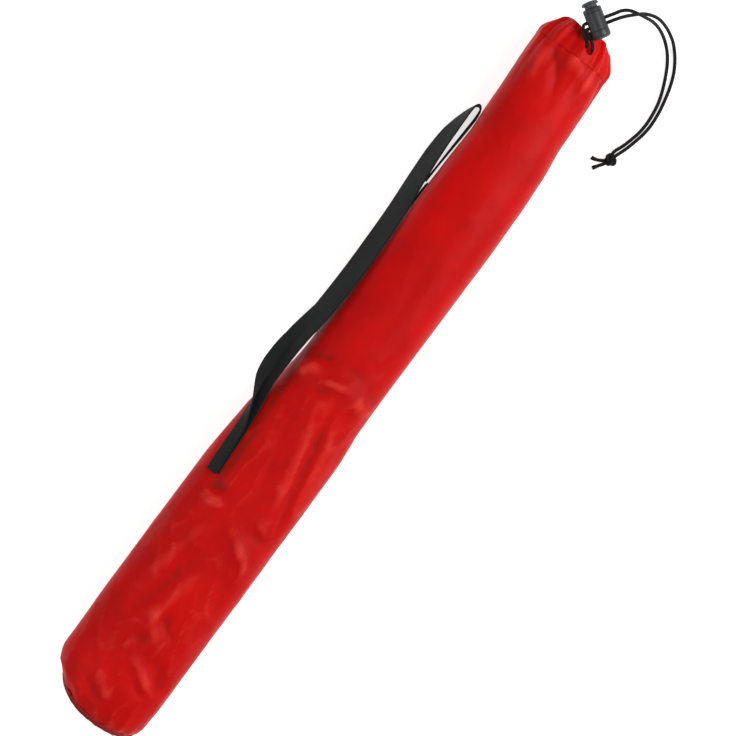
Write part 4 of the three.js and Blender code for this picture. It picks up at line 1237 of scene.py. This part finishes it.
def make_strap():
    """The strap in two pieces that meet at its turn: the long way up, and the short way back to the seam."""
    rings = strap_rings()
    middle = [middle_of(ring) for ring in rings]
    turn = max(range(len(rings)), key=lambda i: middle[i].x)
    lower = capped(grid_piece("strap_lower", rings[: turn + 1], WEBBING))
    upper = capped(grid_piece("strap_upper", rings[turn:], WEBBING))
    leaves = next(i for i, place in enumerate(middle) if place.x > 0)
    free = next(i for i, place in enumerate(middle) if place.x > 0.1)
    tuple(middle[leaves])
    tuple(middle[free])
    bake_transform(lower)
    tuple(middle[turn])
    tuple(middle[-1])
    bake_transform(upper)
    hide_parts("carry_strap")


def make_tab(name, node, find, start, end, angles):
    """A short piece of webbing sewn down over the strap's end, with a boxed row of stitches."""
    rows, count = 26, 22
    grid = []
    for i in range(rows + 1):
        x = BASE_MM + lerp(start, end, i / rows)
        grid.append([find(x, lerp(*angles, k / count), 0.2) for k in range(count + 1)])
    points, faces, uvs = [], [], []
    for lift in (0.0, 1.2):
        for i, row in enumerate(grid):
            for k, (place, normal) in enumerate(row):
                edge = 0.35 if lift and (i in (0, rows) or k in (0, count)) else 0.0
                points.append(place + normal * (lift - edge) * MM)
    size = (count + 1) * (rows + 1)
    wide = (grid[0][0][0] - grid[0][count][0]).length / MM
    for level in (0, 1):
        for i in range(rows):
            for k in range(count):
                a = level * size + i * (count + 1) + k
                quad = [a, a + 1, a + count + 2, a + count + 1]
                faces.append(quad if level else quad[::-1])
    border = ([(0, k) for k in range(count)] + [(i, count) for i in range(rows)]
              + [(rows, k) for k in range(count, 0, -1)] + [(i, 0) for i in range(rows, 0, -1)])
    for n, (i, k) in enumerate(border):
        j, m = border[(n + 1) % len(border)]
        a, b = i * (count + 1) + k, j * (count + 1) + m
        faces.append([a, b, size + b, size + a])
    for face in faces:
        for v in face:
            i, k = divmod(v % size, count + 1)
            uvs.append(((end - start) * i / rows, wide * k / count))
    tab = outward(new_piece(name, points, faces, WEBBING, uvs))
    finish_piece(tab, "bag", "webbing", node)

    def at(u, v):
        return find(BASE_MM + lerp(start, end, u), lerp(*angles, v), 1.55)[0]

    corners = [(0.1, 0.12), (0.9, 0.12), (0.9, 0.88), (0.1, 0.88), (0.1, 0.12), (0.9, 0.88)]
    paths = []
    for a, b in zip(corners, corners[1:]):
        paths.append([at(lerp(a[0], b[0], n / 14), lerp(a[1], b[1], n / 14)) for n in range(15)])
    paths.append([at(lerp(0.9, 0.1, n / 14), lerp(0.12, 0.88, n / 14)) for n in range(15)])
    stitch_line(name + "_stitches", paths, 2.2, 1.7, 0.5, THREAD_BLACK, "bag", "webbing")


# ------------------------------------------------------------------ cord lock
def lock_turn():
    """Turns a piece made on +X onto the lock's axis, with its Y across the strands' way."""
    return Matrix((LOCK_ALONG, -LOCK_THROUGH, Vector((0, 0, 1)))).transposed()


def slot_tool(half_width, half_height, reach, turn, shift=0.0):
    """A round-ended slot that runs across the lock."""
    ends = []
    for y in (-reach, reach):
        ring = []
        for t in circle(24):
            x = shift + math.copysign(half_width - half_height, math.cos(t)) + half_height * math.cos(t)
            ring.append(LOCK_CENTRE + turn @ mm(x, y, half_height * math.sin(t)))
        ends.append(ring)
    return prism(*ends, LOCK_SHELL)


def make_lock():
    turn = lock_turn()
    half, radius, bore = 14.25, 8.5, 6.0
    slot_half, slot_height = (LOCK_PITCH + CORD + 0.8) / 2, (CORD + 0.9) / 2
    groove = radius - 0.35
    outline = [(-half, 0.9), (-half, 4.6), (-half + 0.25, 6.0), (-half + 0.8, 7.3), (-half + 1.8, 8.2),
               (-half + 3.0, radius), (-7.5, radius), (-7.1, groove), (-6.7, radius), (9.4, radius),
               (9.8, groove), (10.2, radius), (half - 1.1, radius), (half - 0.45, radius - 0.25),
               (half - 0.1, radius - 0.8), (half, radius - 1.5), (half, bore + 0.35), (half - 0.35, bore),
               (-half + 2.0, bore), (-half + 2.0, 0.9)]
    barrel = turned_piece("lock_shell", outline, LOCK_SHELL, 72, LOCK_CENTRE, turn)
    combine(barrel, slot_tool(slot_half + 0.1, slot_height + 0.1, 12, turn))
    soften(barrel, 0.55)
    finish_piece(barrel, "cord_lock", "lock_shell", "lock_barrel")

    start, cap, top = -slot_half - 1.4, half + 2.8, half + 6.1
    wide = 7.7
    outline = [(start, 2.4), (start, 5.4), (start + 0.3, 5.7), (cap, 5.7), (cap, wide - 0.4),
               (cap + 0.3, wide), (cap + 1.3, wide), (top - 1.3, wide - 0.25), (top - 0.6, wide - 0.9),
               (top - 0.15, wide - 2.0), (top, wide - 3.2), (top - 0.05, 2.6), (top - 0.4, 1.4),
               (top - 1.0, 0.8), (half - 2, 0.8), (half - 2, 2.4)]
    plunger = turned_piece("lock_button", outline, LOCK_BUTTON, 64, LOCK_CENTRE, turn)
    combine(plunger, slot_tool(slot_half + 1.25, slot_height, 9, turn, shift=1.05))
    soften(plunger, 0.55)
    finish_piece(plunger, "lock_button", "lock_button", "lock_plunger")

    begin, finish = -half + 2.65, start - 0.65
    turns, coil_radius, steps = 3.5, 4.4, 180
    coil = []
    for k in range(steps + 1):
        a = 2 * math.pi * turns * k / steps
        place = mm(lerp(begin, finish, k / steps), coil_radius * math.cos(a), coil_radius * math.sin(a))
        coil.append(LOCK_CENTRE + turn @ place)
    spring = tube_piece("lock_spring_coil", coil, 0.35 * MM, SPRING_STEEL, 10)
    finish_piece(spring, "cord_lock", "spring_steel", "lock_spring")
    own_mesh(spring)


# ------------------------------------------------------------------ pole
POLE_WALL = 1.2
POLE_CENTRE = Vector((0, 0, AXIS_Z))
COLLAR_PLAY = 0.35          # between a collar and the tubes in it
PLUG_PLAY = 0.3             # between a tube and the plug or cap on its end


def on_pole(name, outline, material, body, slot, node, sides=72, rib=None):
    piece = turned_piece(name, outline, material, sides, POLE_CENTRE, rib=rib)
    return finish_piece(piece, body, slot, node)


def span(node):
    """Where a part of the pole starts and ends along it, and its radius."""
    low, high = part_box(node)
    return low.x / MM, high.x / MM, (high.z - low.z) / 2 / MM


def finger_ribs(place, angle):
    """How deep the collar is cut between its 24 ribs, which run over these places of its outline."""
    return 0.75 * (0.5 - 0.5 * math.cos(24 * angle)) ** 0.5 if place in range(3, 9) else 0.0


def make_pole():
    bodies = {"lower": "pole", "middle": "pole_middle", "upper": "pole_top"}
    outers = {}
    for name, body in bodies.items():
        start, end, radius = span(f"pole_tube_{name}")
        outers[name] = radius
        wall, ease = radius - POLE_WALL, 0.25
        outline = [(start + ease, radius), (end - ease, radius), (end, radius - ease), (end, wall + ease),
                   (end - ease, wall), (start + ease, wall), (start, wall + ease), (start, radius - ease)]
        on_pole(f"pole_{name}", outline, POLE_ALLOY, body, "pole_alloy", f"pole_tube_{name}", 96)
    for name, inner in (("lower", "middle"), ("middle", "upper")):
        body = bodies[name]
        start, end, radius = span(f"pole_collar_{name}")
        hole, seat = outers[inner] + COLLAR_PLAY, outers[name] + COLLAR_PLAY
        shelf = start + 12 if name == "middle" else span("pole_tube_lower")[1] + 0.3
        grip = [(start + 5 + k * (end - start - 16) / 5, radius) for k in range(6)]
        outline = [(start, seat), (start, radius - 1.2), (start + 1.2, radius - 0.3)] + grip
        outline += [(end - 8.5, radius), (end - 8, radius - 1.1), (end - 6.6, radius - 1.1),
                    (end - 6, radius - 0.2), (end - 1, radius - 0.4), (end, radius - 1.4), (end, hole),
                    (shelf, hole), (shelf, seat)]
        on_pole(f"twist_collar_{name}", outline, POLE_PLASTIC, body, "pole_plastic", f"pole_collar_{name}",
                192, finger_ribs)
    for node, body in (("pole_bush_middle", "pole_middle"), ("pole_bush_upper", "pole_top")):
        start, end, radius = span(node)
        hole = outers["middle" if node.endswith("middle") else "upper"] + 0.3
        outline = [(start, hole), (start, radius - 0.25), (start + 0.4, radius)]
        for k in range(3):
            x = start + 2.6 + k * 3
            outline += [(x, radius), (x + 0.2, radius - 0.18), (x + 0.9, radius - 0.18), (x + 1.1, radius)]
        outline += [(end - 0.4, radius), (end, radius - 0.25), (end, hole)]
        on_pole(node.replace("pole", "slide"), outline, BUSH_PLASTIC, body, "bush_plastic", node)
    start, end, radius = span("pole_foot_plug")
    seat = outers["lower"] - POLE_WALL - PLUG_PLAY
    outline = [(start, 3), (start, radius - 0.6), (start + 0.6, radius), (start + 5.7, radius),
               (start + 5.7, seat), (start + 8, seat), (start + 8.3, seat - 0.4),
               (start + 9.3, seat - 0.4), (start + 9.6, seat), (end - 0.8, seat), (end, seat - 0.8),
               (end, 3)]
    on_pole("foot_insert", outline, POLE_PLASTIC, "pole", "pole_plastic", "pole_foot_plug")
    start, end, radius = span("pole_foot_tip")
    seat = outers["lower"] + PLUG_PLAY
    outline = [(start + 0.6, 1.5), (start, 3), (start, radius - 5), (start + 0.4, radius - 2.6),
               (start + 1.4, radius - 0.9), (start + 3, radius)]
    for k in range(4):
        x = start + 7 + k * 4.4
        outline += [(x, radius), (x + 0.4, radius - 0.6), (x + 1.6, radius - 0.6), (x + 2.0, radius)]
    outline += [(end - 2, radius - 0.1), (end - 0.4, radius - 0.8), (end, seat + 0.3), (end, seat),
                (start + 5.7, seat), (start + 5.7, 1.5)]
    on_pole("foot_cap", outline, FOOT_RUBBER, "pole", "foot_rubber", "pole_foot_tip")


def make_head():
    """The bearing head: the plug in the top tube, and the hub with its eye that turns on it."""
    start, end, _ = span("head_plug")
    rim = span("pole_tube_upper")[1]
    top = (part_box("pole_tube_upper")[1].z - AXIS_Z) / MM
    seat = top - POLE_WALL - PLUG_PLAY
    outline = [(start + 0.6, 1.7), (start, 2.4), (start, seat - 0.8), (start + 0.8, seat), (rim - 9, seat),
               (rim - 8.7, seat - 0.4), (rim - 7.5, seat - 0.4), (rim - 7.2, seat), (rim + 0.3, seat),
               (rim + 0.3, top - 0.3), (rim + 0.6, top), (rim + 1.7, top), (rim + 2, top - 0.3),
               (rim + 2, 4), (end - 0.3, 4), (end, 3.7), (end, 1.7)]
    on_pole("head_insert", outline, POLE_PLASTIC, "pole_top", "pole_plastic", "head_plug")
    start, _, _ = span("head_hub")
    close = start + 14
    wide = top + 1
    outline = [(start, 4.3), (start, top - 1.3), (start + 0.3, top - 1), (start + 1.6, wide - 0.3),
               (start + 2.2, wide), (start + 3.6, wide), (start + 3.9, wide - 0.4),
               (close - 3.9, wide - 0.4), (close - 3.6, wide), (close - 2.2, wide),
               (close - 1.6, wide - 0.3), (close - 0.3, top - 1), (close, top - 1.3), (close, 4.3)]
    hub = turned_piece("head_bearing", outline, POLE_PLASTIC, 72, POLE_CENTRE)
    bend = 3.6
    ring = [mm(start + 7 + bend * math.cos(t), 0, AXIS_MM + top + 3 + bend * math.sin(t)) for t in circle(48)]
    eye = tube_piece("eye", ring, 1.2 * MM, POLE_PLASTIC, 14, closed=True)
    combine(hub, eye, "UNION", 0.6)
    finish_piece(hub, "head", "pole_plastic", "head_hub")
    for node in ("head_screw", "head_washer"):
        for slot in bpy.data.objects[node].material_slots:
            slot.material = SPRING_STEEL


# ------------------------------------------------------------------ rolled windsock
HOOP_BEND = 17.0            # radius of the hoop where it turns back
HOOP_ROOM = 1.6 + 2.0       # left free on both sides of the hoop's middle line


def hoop_place(x, rise):
    shift, half, height = [float(v) for v in bag_form(x)]
    share = (1 - (abs(rise) / (height / 2 - 1)) ** SECTION_POWER) ** (1 / SECTION_POWER)
    return shift + (half - 1) * share - HOOP_ROOM


def roll_skin(x, count, inset=3.5):
    """The outside of the roll in a section: the bag's own shape less its cloth, flattened by the hoop."""
    hoop_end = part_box("throat_hoop")[1].x / MM
    beside = 1 - smooth((x - hoop_end - 6) / 39)
    shift, half, height = [float(v) for v in bag_form(x)]
    limit = hoop_place(x, HOOP_BEND) - HOOP_ROOM - shift
    share = lerp(1.0, min(1.0, limit / (half - inset)), beside)
    ring = []
    for a in circle(count):
        c = float(power(math.cos(a)))
        y = shift + (half - inset) * c * (share if c > 0 else 1.0)
        z = height / 2 - FLAT_SAG + (height / 2 + FLAT_SAG - inset) * float(power(math.sin(a)))
        ring.append(Vector((x, y, max(z, inset))))
    return ring


def make_roll():
    """The windsock, rolled up on itself round the pole: one sheet wound in a spiral, its edges uneven."""
    low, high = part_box("windsock_roll")
    bore = 18.8
    turns, count = 9, 44
    xs = [lerp(low.x / MM, high.x / MM, smooth(k / 40) if k < 3 or k > 37 else k / 40) for k in range(41)]
    rows = []
    for x in xs:
        outer = roll_skin(x, count)
        row = []
        for k in range(turns * count + 1):
            share = k / (turns * count)
            a = 2 * math.pi * k / count
            inner = Vector((x, bore * math.cos(a), AXIS_MM + bore * math.sin(a)))
            out = outer[k % count]
            edge = (x - low.x / MM) / ((high.x - low.x) / MM)
            tuck = (1 - share) * 5 * (max(0.0, 1 - edge * 12) - max(0.0, 1 - (1 - edge) * 12))
            ripple = 0.9 * noise.noise(Vector((x * 0.02, a * 1.3, 3))) * min(1.0, 4 * share)
            place = inner.lerp(out, 0.03 + 0.94 * share)
            way = (out - inner).normalized()
            place = place - way * abs(ripple)
            place.x = x + tuck
            row.append(place * MM)
        rows.append(row)
    sheet = grid_piece("windsock_wound", rows, SOCK_CLOTH, around=False)
    add_thickness(sheet, 0.4)
    finish_piece(sheet, "windsock", "sock_cloth", "windsock_roll")

    for i in (1, 2):
        node = f"roll_tie_{i}"
        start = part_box(node)[0].x / MM
        rows = []
        for along, lift in ((0, 0.3), (0, 0.9), (0.5, 1.2), (10, 1.3), (19.5, 1.2), (20, 0.9), (20, 0.3)):
            rows.append([p * MM for p in roll_skin(start + along, 120, 3.5 - lift)])
        tie = outward(grid_piece(f"windsock_tie_{i}", rows, TIE_TAPE, closed_rows=True))
        finish_piece(tie, "windsock", "tie_tape", node)


def make_hoop():
    """The throat hoop, pressed to a long loop of spring wire beside the roll."""
    low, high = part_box("throat_hoop")
    near, far = low.x / MM + 19, high.x / MM - 19
    bend, middle = HOOP_BEND, LOWER_HEIGHT / 2 - FLAT_SAG
    turns = [math.pi / 2 - math.pi * k / 12 for k in range(1, 12)]
    outline = [(lerp(near, far, k / 30), bend) for k in range(31)]
    outline += [(far + bend * math.cos(t), bend * math.sin(t)) for t in turns]
    outline += [(lerp(far, near, k / 30), -bend) for k in range(31)]
    outline += [(near - bend * math.cos(t), -bend * math.sin(t)) for t in turns]
    path = [Vector((x, hoop_place(x, max(bend, abs(rise))), middle + rise)) * MM for x, rise in outline]
    hoop = tube_piece("throat_hoop_wire", path, 1.9 * MM, SPRING_STEEL, 16, closed=True)
    finish_piece(hoop, "windsock", "spring_steel", "throat_hoop")


make_camera()
make_stage()
make_drawstring()
bag_piece = make_bag()
find_cloth = cloth_finder(bag_piece)
make_base()
make_mouth()
make_strap()
make_tab("strap_patch_lower", "strap_tab_lower", find_cloth, 242, 270, (0.76, 1.02))
make_tab("strap_patch_upper", "strap_tab_upper", find_cloth, 531, 563, (-0.32, 0.12))
make_lock()
make_pole()
make_head()
make_roll()
make_hoop()
